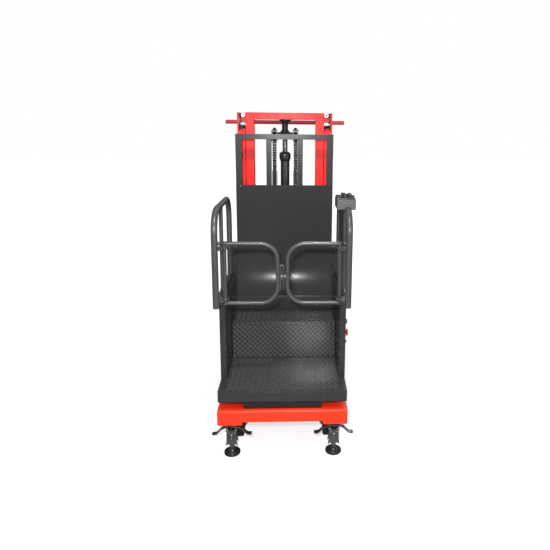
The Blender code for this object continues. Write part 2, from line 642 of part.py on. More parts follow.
def rail(name, side):
    """A side rail: hoop, low and middle tubes, hinge eyes, ties to the frame; the right one is filled."""
    x = side * RAIL_X
    hoop = tube([(x, at(RAIL_NEAR), RAIL_LOW), (x, at(RAIL_NEAR), RAIL_TOP), (x, at(RAIL_FAR), RAIL_TOP),
                 (x, at(RAIL_FAR), SIDE_TOP + GAP + RAIL_R - 0.004)], RAIL_R, RAIL_BEND, 12)
    middle = tube([(x, at(RAIL_MID), SIDE_TOP + 0.018), (x, at(RAIL_MID), RAIL_TOP)], 0.0105, sides=10)
    low = SIDE_TOP + GAP + LOW_RAIL_R
    pieces = [tube([(x, at(RAIL_NEAR), low), (x, at(SIDE_BACK), low)], LOW_RAIL_R, sides=12), middle]
    eye = HINGE_X - GATE_R - 0.007
    for z in (GATE_TOP - GATE_R - 0.016, GATE_LOW + GATE_R + 0.006):
        pieces.append(block(span(side, eye, RAIL_X + 0.003), deep(RAIL_NEAR - 0.002, GATE_Y + 0.018),
                            (z, z + 0.010)))
    bore = rod(GATE_R + 0.001, (side * HINGE_X, at(GATE_Y), RAIL_LOW), 0.4, "Z", 16)
    tie_end = at(0.6515 - GAP)
    pieces += [tube([(x, at(RAIL_FAR), z), (x, tie_end, z)], 0.010, sides=10) for z in TIE_Z]
    if side > 0:
        corner = rounded([(0, at(RAIL_FAR), low), (0, at(RAIL_FAR), RAIL_TOP), (0, at(RAIL_MID), RAIL_TOP)],
                         RAIL_BEND, 4)
        outline = [(y, z) for _, y, z in corner] + [(at(RAIL_MID), low)]
        pieces.append(prism(outline, x - 0.0015, x + 0.0015, "X"))
    return node(f"rail_{name}", fuse(hoop, pieces, [bore]), GREY)


def gate(name, side):
    """A closed loop of tube on a hinge stile; the left one carries the arched latch on its free leg."""
    y = at(GATE_Y)
    leg = side * GATE_LEG
    hinge = side * HINGE_X
    loop = tube([(hinge, y, GATE_TOP), (leg, y, GATE_TOP), (leg, y, GATE_LOW), (hinge, y, GATE_LOW)],
                GATE_R, GATE_BEND, 10)
    pieces = [rod(GATE_R, (hinge, y, GATE_LOW - 0.010), GATE_TOP - GATE_LOW + 0.020, "Z", 10)]
    if side < 0:
        near, far = LATCH_R - 0.002 - GATE_LEG + GATE_R, GATE_LEG - GATE_R - LATCH_R - 0.005
        arch = [(near, y, LATCH_LOW), (near, y, LATCH_TOP), (far, y, LATCH_TOP), (far, y, LATCH_LOW)]
        pieces.append(tube(arch, LATCH_R, (far - near) / 2 - 0.0005, 8, 3))
    return node(f"gate_{name}", fuse(loop, pieces), GREY)


def controls():
    """Speed box on the right rail with its black top and knobs, and the push button station low down."""
    x = RAIL_X
    box_top = 1.341
    body = block((0.268, 0.362), deep(0.112, 0.250), (1.288, box_top), 0.004)
    groove = tube([(x, at(RAIL_NEAR), RAIL_LOW), (x, at(RAIL_NEAR), RAIL_TOP), (x, at(RAIL_FAR), RAIL_TOP)],
                  RAIL_R + 0.0008, RAIL_BEND, 12)
    box = node("control_box", fuse(body, cut=[groove]), GREY)
    top = block((0.270, 0.360), deep(0.114, 0.248), (box_top + GAP, box_top + 0.007))
    # Each knob: x, distance behind the base's front face, radius, height of its top above the box
    knobs = [rod(radius, (place, at(behind), box_top + 0.005), rise - 0.005, "Z", 10)
             for place, behind, radius, rise in (
                 (0.288, 0.138, 0.008, 0.020), (0.308, 0.128, 0.011, 0.026), (0.332, 0.132, 0.010, 0.025),
                 (0.350, 0.150, 0.007, 0.017), (0.305, 0.192, 0.012, 0.024), (0.337, 0.202, 0.010, 0.022))]
    knob_plate = node("control_knobs", fuse(top, knobs), PLASTIC)

    case = block((SIDE_IN + GAP, 0.328), deep(0.155, 0.225), (0.528, 0.712), 0.003)
    # Each button: height, radius, outer end
    buttons = [rod(radius, (0.326, at(0.190), z), reach - 0.326, "X", 16)
               for z, radius, reach in ((0.676, 0.013, 0.340), (0.614, 0.020, 0.345), (0.562, 0.009, 0.338))]
    station = node("button_station", fuse(case, buttons), PLASTIC)
    return [box, knob_plate, station]


def rear():
    """Power cover over the battery and pump, and the push handle across the back."""
    half, wall = 0.255, 0.004
    front, back, top = 0.940, 1.185, 0.900
    shell = block((-half, half), deep(front, back), (BASE_TOP + GAP, top), 0.012)
    hollow = block((-half + wall, half - wall), deep(front + wall, back - wall),
                   (BASE_TOP - 0.05, top - wall), 0.010)
    trim = block((-1, 1), (-1, 1), (BASE_TOP - 0.1, BASE_TOP + GAP))
    node("power_cover", fuse(shell, cut=[hollow, trim]), GREY)
    node("battery", block((-0.210, -0.010), deep(0.960, 1.130), (BASE_TOP + GAP, 0.490)), PLASTIC)
    node("hydraulic_unit", block((0.040, 0.210), deep(0.960, 1.120), (BASE_TOP + GAP, 0.620)), GREY)
    start = at(OUTER_FRONT + OUTER_DEEP + TIE_DEEP + GAP)
    end = at(LENGTH - 0.014)
    path = [(-0.240, start, 0.980), (-0.240, end, 0.980), (0.240, end, 0.980), (0.240, start, 0.980)]
    node("push_handle", tube(path, 0.014, 0.060, 12), GREY)


def main():
    base()
    casters()
    floor_locks()
    outer_mast()
    inner_mast()
    lift()
    stands = platform() + controls()
    rear()
    lifted = [bpy.data.objects[name] for name in (
        "inner_mast_left", "inner_mast_right", "inner_top_beam", "inner_tie", "piston_rod", "crosshead",
        "chain_left", "chain_right")]
    mast = pivot("mast_lift", (0, at(MAST_MID), BASE_TOP), lifted)
    deck = pivot("platform_lift", (0, at(MAST_MID), DECK_TOP), stands, mast)
    for name, side in SIDES:
        pivot(f"gate_hinge_{name}", (side * HINGE_X, at(GATE_Y), GATE_LOW), [gate(name, side)], deck)


main()
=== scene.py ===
"""Looks for the order picker: camera, light, materials and the small parts that the solids leave out."""

import json
from math import ceil, cos, pi, radians, sin

import bmesh
import bpy
from mathutils import Matrix, Vector


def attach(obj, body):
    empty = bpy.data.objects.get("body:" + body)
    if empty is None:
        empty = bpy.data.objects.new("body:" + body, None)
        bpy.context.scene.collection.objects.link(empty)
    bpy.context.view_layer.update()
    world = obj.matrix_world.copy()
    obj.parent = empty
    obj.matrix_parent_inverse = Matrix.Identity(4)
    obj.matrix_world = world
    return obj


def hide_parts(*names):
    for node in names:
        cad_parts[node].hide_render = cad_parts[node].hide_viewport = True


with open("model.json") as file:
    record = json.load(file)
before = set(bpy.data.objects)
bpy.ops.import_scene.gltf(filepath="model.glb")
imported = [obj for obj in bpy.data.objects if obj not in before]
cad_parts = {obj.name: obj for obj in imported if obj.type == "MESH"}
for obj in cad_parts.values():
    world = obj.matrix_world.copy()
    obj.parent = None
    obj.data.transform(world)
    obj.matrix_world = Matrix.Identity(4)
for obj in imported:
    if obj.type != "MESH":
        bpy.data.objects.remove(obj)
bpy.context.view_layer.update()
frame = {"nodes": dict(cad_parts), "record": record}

NODES = frame["nodes"]
SIDES = (("left", -1), ("right", 1))
LENGTH = 1.260
GAP = 0.0003

# Sizes repeated from the part's source, in metres; depths are distances behind the base's front face
BASE_TOP, MOUNT_LOW = 0.272, 0.189
WHEEL_R, WHEEL_WIDE = 0.070, 0.045
FRONT_SWIVEL, TRAIL, REAR_WHEEL = (0.240, 0.195), 0.026, (0.275, 1.120)
LOCK, LOCK_TOP, PAD_R = (0.2665, 0.060), 0.142, 0.043
MAST_FRONT, MAST_TOP, MAST_MID = 0.779, 1.778, 0.829
INNER_X, OUTER_X, OUTER_FRONT, OUTER_DEEP = (0.189, 0.237), (0.242, 0.289), 0.785, 0.100
BARREL_R, BARREL_TOP, GLAND_R, GLAND_TOP, ROD_R, ROD_LOW = 0.028, 1.490, 0.0355, 1.542, 0.0155, 0.290
HEAD_LOW, HEAD_TOP, TOP_BEAM_LOW = 1.622, 1.661, 1.738
CHAIN_X, SHEAVE_R, SHEAVE_Z, PITCH = 0.065, 0.028, 1.630, 0.015875
CHAIN_LOW = (0.330, 0.280)
DECK_TOP, RISER, STEP_TOP, STEP_BACK, SIDE_TOP = 0.377, 0.388, 0.596, 0.644, 0.813
COVE_R, PANEL_LOW = 0.074, 0.670
TIE_Z, TIE_END, WING_TOP = (0.860, 0.940), 0.6512, 0.975
RAIL_X, RAIL_R, LOW_RAIL_R, POST_R = 0.323, 0.016, 0.0145, 0.0105
RAIL_NEAR, RAIL_FAR, RAIL_MID = 0.0185, 0.5715, 0.252
RAIL_TOP, RAIL_LOW, RAIL_BEND = 1.291, 0.816, 0.110
GATE_Y, GATE_R, HINGE_X = 0.0685, 0.0105, 0.284
GATE_TOP, GATE_LOW, GATE_BEND, GATE_LEG, STUB_END = 1.128, 0.8245, 0.085, 0.024, 0.3005
LATCH_R, LATCH_TOP, LATCH_LOW = 0.0042, 1.019, 0.893


def at(behind):
    """Y of a place this far behind the base's front face."""
    return behind - LENGTH / 2


# Materials


def wire(tree, kind, sockets=(), **settings):
    """A shader node with its settings; each socket pair is (name or index, value or output to link)."""
    made = tree.nodes.new("ShaderNode" + kind)
    for key, value in settings.items():
        setattr(made, key, value)
    for key, value in sockets:
        if isinstance(value, bpy.types.NodeSocket):
            tree.links.new(value, made.inputs[key])
        else:
            made.inputs[key].default_value = value
    return made


def ramp(tree, source, low, high, start=0.0, end=1.0):
    """A smooth step of the source between low and high."""
    sockets = [("Value", source), ("From Min", low), ("From Max", high), ("To Min", start), ("To Max", end)]
    return wire(tree, "MapRange", sockets, interpolation_type="SMOOTHSTEP").outputs[0]


def maths(tree, operation, first, second):
    """The result of a maths node; each term is a number or a socket."""
    return wire(tree, "Math", [(0, first), (1, second)], operation=operation).outputs[0]


def blend(tree, share, first, second):
    """A colour mix; each colour is a tuple or a socket."""
    mixer = wire(tree, "Mix", data_type="RGBA")
    for spot, value in ((0, share), (6, first), (7, second)):
        if isinstance(value, bpy.types.NodeSocket):
            tree.links.new(value, mixer.inputs[spot])
        else:
            mixer.inputs[spot].default_value = value
    return mixer.outputs[2]


def noise(tree, coords, scale, detail=2.0, rough=0.5, stretch=None):
    """A noise over the object's own coordinates, stretched along an axis where a scale for each is given."""
    if stretch:
        coords = wire(tree, "Mapping", [("Vector", coords), ("Scale", stretch)]).outputs[0]
    return wire(tree, "TexNoise", [("Vector", coords), ("Scale", scale), ("Detail", detail),
                                   ("Roughness", rough)]).outputs[0]


def shade(value, by):
    """A colour made lighter or darker, with its alpha."""
    return tuple(min(1.0, channel * by) for channel in value) + (1.0,)


# Noise scales, about one patch for each length of 1 / scale metres
CLOUD_SCALE, MOTTLE_SCALE, SWELL_SCALE, BRUSH_SCALE = 5.0, 55.0, 9.0, 900.0
DUST_COLOUR = (0.32, 0.30, 0.27, 1)


def worn(tree, tone, normal, mottle, edge, edge_colour):
    """The colour with its edges worn in patches: where the softened normal leaves the face's own."""
    flat = wire(tree, "NewGeometry").outputs["Normal"]
    turn = wire(tree, "VectorMath", [(0, normal), (1, flat)], operation="DOT_PRODUCT").outputs["Value"]
    share = maths(tree, "MULTIPLY", ramp(tree, turn, 0.985, 0.90), ramp(tree, mottle, 0.40, 0.62))
    return blend(tree, maths(tree, "MULTIPLY", share, edge), tone, edge_colour)


def dusted(tree, tone, mottle, dust):
    """The colour with dust in patches on what faces up."""
    flat = wire(tree, "NewGeometry").outputs["Normal"]
    up = wire(tree, "SeparateXYZ", [(0, flat)]).outputs[2]
    lying = maths(tree, "MULTIPLY", ramp(tree, up, 0.6, 1.0), ramp(tree, mottle, 0.35, 0.7, 0.2, dust))
    return blend(tree, lying, tone, DUST_COLOUR)


def bow(tree, coords, top, radius):
    """Relief of a sheet whose lower end sweeps forward: the square of the drop below top over a radius."""
    height = wire(tree, "SeparateXYZ", [(0, coords)]).outputs[2]
    drop = maths(tree, "MAXIMUM", maths(tree, "SUBTRACT", top, height), 0.0)
    return maths(tree, "MULTIPLY", drop, drop), 1.0, 0.5 / radius


def finish_of(name, colour, rough, metal=0.0, specular=0.5, rough_vary=0.05, vary=0.10, soften=0.0016,
              edge=0.0, edge_colour=None, peel=0.0, peel_scale=380.0, dust=0.0, brushed=None, pits=0.0,
              bowed=None):
    """A surface with mottled colour, uneven gloss, fine relief and softened edges."""
    made = bpy.data.materials.new(name)
    made.use_nodes = True
    tree = made.node_tree
    tree.nodes.clear()
    out = tree.nodes.new("ShaderNodeOutputMaterial")
    surface = tree.nodes.new("ShaderNodeBsdfPrincipled")
    tree.links.new(surface.outputs[0], out.inputs[0])
    coords = wire(tree, "TexCoord").outputs["Object"]
    cloud = noise(tree, coords, CLOUD_SCALE, 3.0)
    mottle = noise(tree, coords, MOTTLE_SCALE, 4.0, 0.6)
    tone = blend(tree, ramp(tree, cloud, 0.3, 0.7), shade(colour, 1 - vary), shade(colour, 1 + vary * 0.6))
    tone = blend(tree, ramp(tree, mottle, 0.35, 0.75, 0.0, vary), tone, shade(colour, 0.55))
    normal = wire(tree, "Bevel", [("Radius", soften)], samples=4).outputs[0] if soften else None
    if edge and normal:
        tone = worn(tree, tone, normal, mottle, edge, edge_colour)
    if dust:
        tone = dusted(tree, tone, mottle, dust)
    tree.links.new(tone, surface.inputs["Base Color"])
    gloss = ramp(tree, mottle, 0.25, 0.75, max(0.02, rough - rough_vary), rough + rough_vary)
    tree.links.new(gloss, surface.inputs["Roughness"])
    surface.inputs["Metallic"].default_value = metal
    surface.inputs["Specular IOR Level"].default_value = specular
    # Each relief is a height, its strength and its distance in metres
    relief = []
    if bowed:
        relief.append(bow(tree, coords, *bowed))
    if peel:
        relief.append((noise(tree, coords, peel_scale, 1.5), peel, 0.0006))
        relief.append((noise(tree, coords, SWELL_SCALE, 1.0), peel, 0.0015))
    if brushed:
        relief.append((noise(tree, coords, BRUSH_SCALE, 2.0, 0.6, brushed), 0.10, 0.0004))
    if pits:
        relief.append((mottle, pits, 0.0012))
    for height, strength, distance in relief:
        bump = wire(tree, "Bump", [("Height", height), ("Strength", strength), ("Distance", distance)])
        if normal:
            tree.links.new(normal, bump.inputs["Normal"])
        normal = bump.outputs[0]
    if normal:
        tree.links.new(normal, surface.inputs["Normal"])
    return made


BASE_PAINT = finish_of("base_paint", (0.94, 0.036, 0.008), 0.34, peel=0.10, vary=0.06, edge=0.35,
                       edge_colour=(0.55, 0.10, 0.05, 1), soften=0.004, specular=0.30)
MAST_PAINT = finish_of("mast_paint", (0.74, 0.022, 0.018), 0.34, peel=0.06, vary=0.08, edge=0.30,
                       edge_colour=(0.50, 0.08, 0.06, 1), soften=0.0022, specular=0.12)
# A darker, bluer copy of the mast's red: painted shade for the loading bar, which sits behind the mast.
SHADED_BAR_PAINT = finish_of("bar_paint_shaded", (0.40, 0.026, 0.046), 0.34, peel=0.06, vary=0.10, soften=0.0,
                      specular=0.40)
FRAME_PAINT = finish_of("frame_paint", (0.031, 0.031, 0.033), 0.26, peel=0.02, vary=0.03, edge=0.5,
                        edge_colour=(0.12, 0.12, 0.12, 1), soften=0.0022, specular=0.15, rough_vary=0.02)
PANEL_PAINT = finish_of("panel_paint", (0.031, 0.031, 0.032), 0.145, peel=0.02, vary=0.03, soften=0.0,
                        specular=0.09, rough_vary=0.02, bowed=(PANEL_LOW + 0.285, 0.50))
# The lugs are a lighter grey than the deck's paint: partly worn steel on the lugs, partly a painted sheen
# that stands in for their glints.
TREAD_PLATE = finish_of("tread_plate", (0.066, 0.066, 0.068), 0.20, vary=0.08, soften=0.0, specular=1.0,
                        rough_vary=0.04)
TUBE_PAINT = finish_of("tube_paint", (0.043, 0.043, 0.045), 0.34, vary=0.05, soften=0.0, specular=0.62,
                       rough_vary=0.02)
CYLINDER_PAINT = finish_of("cylinder_paint", (0.018, 0.018, 0.019), 0.26, peel=0.05, vary=0.15, soften=0.0012)
HEAD_PAINT = finish_of("head_paint", (0.018, 0.018, 0.019), 0.45, peel=0.05, vary=0.15, soften=0.0012,
                       specular=0.15)
# The rod's chrome is darkened to a low reflectance: a painted reflection of dark surroundings, so the rod
# reads dark with only the lamps' lines bright.
CHROME = finish_of("chrome_rod", (0.13, 0.13, 0.135), 0.20, metal=1.0, vary=0.03, soften=0.0, rough_vary=0.02,
                   brushed=(1.0, 1.0, 0.03))
ZINC = finish_of("zinc", (0.30, 0.31, 0.32), 0.36, metal=1.0, vary=0.16, soften=0.0009, rough_vary=0.10,
                 pits=0.05)
DARK_STEEL = finish_of("dark_steel", (0.120, 0.122, 0.126), 0.32, metal=0.9, vary=0.22, soften=0.0009,
                       rough_vary=0.10, pits=0.06)
BOLT = finish_of("bolt_steel", (0.50, 0.50, 0.51), 0.28, metal=1.0, vary=0.15, soften=0.0005, rough_vary=0.08)
CHAIN = finish_of("chain_steel", (0.020, 0.019, 0.018), 0.36, metal=0.6, vary=0.25, soften=0.0,
                  rough_vary=0.10, specular=0.2)
RUBBER = finish_of("rubber_pad", (0.009, 0.009, 0.010), 0.50, vary=0.15, soften=0.001, peel=0.10,
                   peel_scale=900.0, rough_vary=0.08, specular=0.35)
TREAD = finish_of("wheel_tread", (0.008, 0.008, 0.009), 0.45, vary=0.15, soften=0.001, dust=0.12,
                  specular=0.35)
PLASTIC = finish_of("black_plastic", (0.014, 0.014, 0.015), 0.40, vary=0.10, soften=0.0009, peel=0.10,
                    peel_scale=1400.0)
BOX_PAINT = finish_of("box_paint", (0.074, 0.075, 0.078), 0.34, peel=0.12, vary=0.10, soften=0.002)
BUTTON_RED = finish_of("button_red", (0.55, 0.018, 0.014), 0.30, vary=0.05, soften=0.0008)
BUTTON_GREEN = finish_of("button_green", (0.010, 0.16, 0.055), 0.30, vary=0.05, soften=0.0008)

SLOT_LOOK = {"base_paint": BASE_PAINT, "mast_paint": MAST_PAINT, "frame_paint": FRAME_PAINT,
             "chrome_rod": CHROME, "zinc": ZINC, "chain_steel": CHAIN, "rubber_pad": RUBBER,
             "wheel_tread": TREAD, "black_plastic": PLASTIC}
OWN_LOOK = {"back_panel": PANEL_PAINT, "kick_plate": PANEL_PAINT, "control_box": BOX_PAINT,
            "loading_bar": SHADED_BAR_PAINT}
for label, _ in SIDES:
    for kind in ("lock_housing", "front_fork", "rear_fork"):
        OWN_LOOK[f"{kind}_{label}"] = DARK_STEEL
for row in frame["record"]["subparts"]:
    look = OWN_LOOK.get(row["node"], SLOT_LOOK[row["material_slot"]])
    for holder in NODES[row["node"]].material_slots:
        holder.material = look


# Mesh code: every shape is a pair of lists, (corners, faces)


def box(x, y, z, bevel=0.0, steps=2):
    """A box from three (low, high) pairs with rounded edges."""
    mesh = bmesh.new()
    bmesh.ops.create_cube(mesh, size=1.0)
    for corner in mesh.verts:
        corner.co = [low + (high - low) * (place + 0.5) for place, (low, high) in zip(corner.co, (x, y, z))]
    if bevel:
        bmesh.ops.bevel(mesh, geom=mesh.edges[:], offset=bevel, segments=steps, profile=0.5, affect="EDGES")
    return from_bmesh(mesh)


def from_bmesh(mesh):
    """The corners and faces of an edit mesh, which is then freed."""
    mesh.verts.ensure_lookup_table()
    corners = [corner.co.copy() for corner in mesh.verts]
    faces = [[corner.index for corner in face.verts] for face in mesh.faces]
    mesh.free()
    return corners, faces


TURN = {"Z": Matrix(), "X": Matrix.Rotation(pi / 2, 4, "Y"), "Y": Matrix.Rotation(-pi / 2, 4, "X")}


def spun(profile, centre, axis="Z", steps=48, phase=0.0):
    """A closed profile of (radius, place along the axis) spun round that axis or direction."""
    turn = TURN[axis] if isinstance(axis, str) else Vector(axis).to_track_quat("Z", "Y").to_matrix().to_4x4()
    place = Matrix.Translation(centre) @ turn
    corners, faces, index = [], [], {}
    for n, (radius, along) in enumerate(profile):
        if not radius:
            index[n] = len(corners)
            corners.append(place @ Vector((0, 0, along)))
    for step in range(steps):
        angle = phase + 2 * pi * step / steps
        for n, (radius, along) in enumerate(profile):
            if radius:
                index[step, n] = len(corners)
                corners.append(place @ Vector((radius * cos(angle), radius * sin(angle), along)))
    for step in range(steps):
        after = (step + 1) % steps
        for n in range(len(profile)):
            m = (n + 1) % len(profile)
            ring = [index.get((step, n), index.get(n)), index.get((step, m), index.get(m)),
                    index.get((after, m), index.get(m)), index.get((after, n), index.get(n))]
            face = [spot for k, spot in enumerate(ring) if spot not in ring[:k]]
            if len(face) > 2:
                faces.append(face)
    return corners, faces


def rounded(points, bend, steps=10):
    """The path through these points, with each inner corner an arc of this radius."""
    path = [Vector(points[0])]
    for before, corner, after in zip(points, points[1:], points[2:]):
        corner = Vector(corner)
        into = (corner - Vector(before)).normalized()
        out = (Vector(after) - corner).normalized()
        half = into.angle(out) / 2
        if half < 1e-4:
            path.append(corner)
            continue
        start = corner - into * bend * (sin(half) / cos(half))
        middle = start + (out - into * into.dot(out)).normalized() * bend
        spin = into.cross(out).normalized()
        for n in range(steps + 1):
            path.append(middle + Matrix.Rotation(2 * half * n / steps, 3, spin) @ (start - middle))
    path.append(Vector(points[-1]))
    return path


def belt(start, after, sides):
    """The faces between two rings of corners that begin at these places in the list."""
    faces = []
    for side in range(sides):
        other = (side + 1) % sides
        faces.append([start + side, start + other, after + other, after + side])
    return faces


def swept(points, radius, bend=0.0, sides=24, steps=10):
    """A round bar along a path; radius is a number or a list with one for each path point."""
    path = rounded(points, bend, steps) if bend else [Vector(p) for p in points]
    radii = radius if isinstance(radius, (list, tuple)) else [radius] * len(path)
    heading = (path[1] - path[0]).normalized()
    across = heading.orthogonal().normalized()
    corners, faces = [], []
    for n, (place, r) in enumerate(zip(path, radii)):
        ahead = (path[min(n + 1, len(path) - 1)] - path[max(n - 1, 0)]).normalized()
        across = (across - ahead * across.dot(ahead)).normalized()
        third = ahead.cross(across)
        for side in range(sides):
            angle = 2 * pi * side / sides
            corners.append(place + (across * cos(angle) + third * sin(angle)) * r)
    for n in range(len(path) - 1):
        faces += belt(n * sides, (n + 1) * sides, sides)
    faces.append(list(range(sides))[::-1])
    faces.append([(len(path) - 1) * sides + side for side in range(sides)])
    return corners, faces


def bead(points, size=0.0024, pitch=0.0045, sides=8):
    """A weld bead: a thin bar along a path whose thickness ripples."""
    path = [Vector(points[0])]
    for start, end in zip(points, points[1:]):
        start, end = Vector(start), Vector(end)
        count = max(2, ceil((end - start).length / (pitch / 2)))
        path += [start.lerp(end, (n + 1) / count) for n in range(count)]
    radii = [size * (1.0 + 0.16 * (n % 2) + 0.08 * sin(n * 1.7)) for n in range(len(path))]
    radii[0] = radii[-1] = size * 0.6
    return swept(path, radii, sides=sides)


def ring_bead(centre, radius, axis="Z", size=0.0022, steps=36):
    """A weld bead all the way round a tube."""
    place = Matrix.Translation(centre) @ TURN[axis]
    corners, faces, sides = [], [], 8
    for n in range(steps):
        turn = 2 * pi * n / steps
        r = size * (1.0 + 0.15 * (n % 2))
        for side in range(sides):
            angle = 2 * pi * side / sides
            reach = radius + r * cos(angle)
            corners.append(place @ Vector((reach * cos(turn), reach * sin(turn), r * sin(angle))))
        faces += belt(n * sides, (n + 1) % steps * sides, sides)
    return corners, faces


def hexagon(centre, direction, size, high, washer=True):
    """A bolt head or nut with its washer; size is half the width across flats, along a direction."""
    shapes = []
    base = Vector(centre)
    heading = Vector(direction).normalized()
    if washer:
        thick = size * 0.28
        shapes.append(spun([(0, 0), (size * 1.42, 0), (size * 1.42, thick), (0, thick)], base, heading, 24))
        base = base + heading * thick
    wide = size / cos(pi / 6)
    head = [(0, 0), (wide, 0), (wide, high * 0.82), (wide * 0.86, high), (0, high)]
    shapes.append(spun(head, base, heading, 6, 0.3))
    return shapes


def plate(outline, low, high, axis="Z", bevel=0.0):
    """An outline of two coordinates extruded along the third axis, edges rounded by bevel."""
    place = {"Z": lambda a, b, c: (a, b, c),
             "Y": lambda a, b, c: (a, c, b),
             "X": lambda a, b, c: (c, a, b)}[axis]
    mesh = bmesh.new()
    face = mesh.faces.new([mesh.verts.new(place(a, b, low)) for a, b in outline])
    grown = bmesh.ops.extrude_face_region(mesh, geom=[face])["geom"]
    for corner in (item for item in grown if isinstance(item, bmesh.types.BMVert)):
        corner.co += Vector(place(0, 0, high - low))
    if bevel:
        bmesh.ops.bevel(mesh, geom=mesh.edges[:], offset=bevel, segments=2, affect="EDGES")
    return from_bmesh(mesh)


def piece(name, body, look, shapes, angle=35.0, replaces=()):
    """One named object from several shapes, riding on a body and finished in a slot's look."""
    corners, faces = [], []
    for points, loops in shapes:
        start = len(corners)
        corners += points
        faces += [[start + spot for spot in loop] for loop in loops]
    data = bpy.data.meshes.new(name)
    data.from_pydata(corners, [], faces)
    mesh = bmesh.new()
    mesh.from_mesh(data)
    bmesh.ops.recalc_face_normals(mesh, faces=mesh.faces)
    mesh.to_mesh(data)
    mesh.free()
    data.shade_smooth()
    data.set_sharp_from_angle(angle=radians(angle))
    data.materials.append(look)
    made = bpy.data.objects.new(name, data)
    bpy.context.scene.collection.objects.link(made)
    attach(made, body)
    if replaces:
        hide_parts(*replaces)
    return made


def span(side, near, far):
    """A stretch of x between two distances from the middle plane, on one side."""
    return tuple(sorted((side * near, side * far)))


def deep(front, back):
    """A stretch of y between two distances behind the base's front face."""
    return at(front), at(back)


# Rails and gates


def hinge_eye(side, z):
    """A strap from the rail with a round end and a bore round the gate's hinge tube."""
    bore, wide = GATE_R + 0.001, 0.0185
    ring = [(bore, 0), (wide - 0.001, 0), (wide, 0.001), (wide, 0.009), (wide - 0.001, 0.010), (bore, 0.010)]
    outline = [(RAIL_X + 0.002, RAIL_NEAR + 0.006), (RAIL_X + 0.002, GATE_Y + 0.018),
               (HINGE_X + 0.008, GATE_Y + 0.0175), (HINGE_X + 0.0135, GATE_Y + 0.009),
               (HINGE_X + 0.0135, GATE_Y - 0.009), (HINGE_X + 0.004, GATE_Y - 0.0178),
               (HINGE_X - 0.004, RAIL_NEAR + 0.014), (HINGE_X + 0.004, RAIL_NEAR + 0.002)]
    strap = [(side * across, at(behind)) for across, behind in outline]
    return [spun(ring, (side * HINGE_X, at(GATE_Y), z), "Z", 32),
            plate(strap, z + 0.0005, z + 0.0095, "Z", 0.0008)]


def rail(name, side):
    """The rail's tubes rounded, with weld beads where they meet, hinge eyes and bolted ties."""
    x = side * RAIL_X
    low = SIDE_TOP + GAP + LOW_RAIL_R
    shapes = [
        swept([(x, at(RAIL_NEAR), RAIL_LOW), (x, at(RAIL_NEAR), RAIL_TOP), (x, at(RAIL_FAR), RAIL_TOP),
               (x, at(RAIL_FAR), low)], RAIL_R, RAIL_BEND, 28, 14),
        swept([(x, at(RAIL_NEAR), low), (x, at(0.640), low)], LOW_RAIL_R, sides=28),
        swept([(x, at(RAIL_MID), low), (x, at(RAIL_MID), RAIL_TOP)], POST_R, sides=20),
        ring_bead((x, at(RAIL_MID), RAIL_TOP - RAIL_R + 0.001), POST_R),
        ring_bead((x, at(RAIL_MID), low + LOW_RAIL_R - 0.001), POST_R),
        ring_bead((x, at(RAIL_NEAR + RAIL_R - 0.0005), low), LOW_RAIL_R, "Y", 0.0026, 48),
        ring_bead((x, at(RAIL_FAR), low + LOW_RAIL_R - 0.0015), RAIL_R - 0.0005, "Z", 0.0026, 48),
        spun([(0, 0), (RAIL_R - 0.001, 0), (RAIL_R + 0.0004, 0.0015), (RAIL_R + 0.0004, 0.004), (0, 0.004)],
             (x, at(RAIL_NEAR), RAIL_LOW - 0.001), "Z", 28),
    ]
    for z in TIE_Z:
        shapes.append(swept([(x, at(RAIL_FAR), z), (x, at(TIE_END), z)], 0.010, sides=20))
        shapes.append(ring_bead((x, at(RAIL_FAR + RAIL_R - 0.001), z), 0.0102, "Y"))
        shapes.append(spun([(0, 0), (0.0155, 0), (0.0155, 0.003), (0, 0.003)], (x, at(0.6478), z), "Y", 24))
    for z in (GATE_TOP - GATE_R - 0.016, GATE_LOW + GATE_R + 0.006):
        shapes += hinge_eye(side, z)
    for z in (GATE_TOP, GATE_LOW):
        stub = [(x, at(RAIL_NEAR), z), (x, at(GATE_Y), z), (side * STUB_END, at(GATE_Y), z)]
        shapes.append(swept(stub, 0.0095, 0.012, 20, 8))
    near, far, wing_low, wing_high = side * 0.284, side * 0.336, WING_TOP - 0.001, 1.004
    wing = [(near, wing_low), (far, wing_low), (far, 0.994), (side * 0.328, wing_high), (near, wing_high)]
    shapes.append(plate(wing, at(0.6515), at(0.6640), "Y", 0.001))
    if side > 0:
        # Only the right rail has a sheet, between its rear bend and the middle post
        corner = rounded([(0, at(RAIL_FAR), low), (0, at(RAIL_FAR), RAIL_TOP), (0, at(RAIL_MID), RAIL_TOP)],
                         RAIL_BEND, 12)
        outline = [(y, z) for _, y, z in corner] + [(at(RAIL_MID), low)]
        shapes.append(plate(outline, x - 0.0015, x + 0.0015, "X"))
    piece(f"{name}_tubes", "platform", TUBE_PAINT, shapes, 40, (name,))
    bolts = []
    for z in TIE_Z:
        for across in (-0.025, 0.010):
            bolts += hexagon((x + side * across, at(0.6505), z), (0, -1, 0), 0.0048, 0.004)
    piece(f"{name}_bolts", "platform", HEAD_PAINT, bolts)


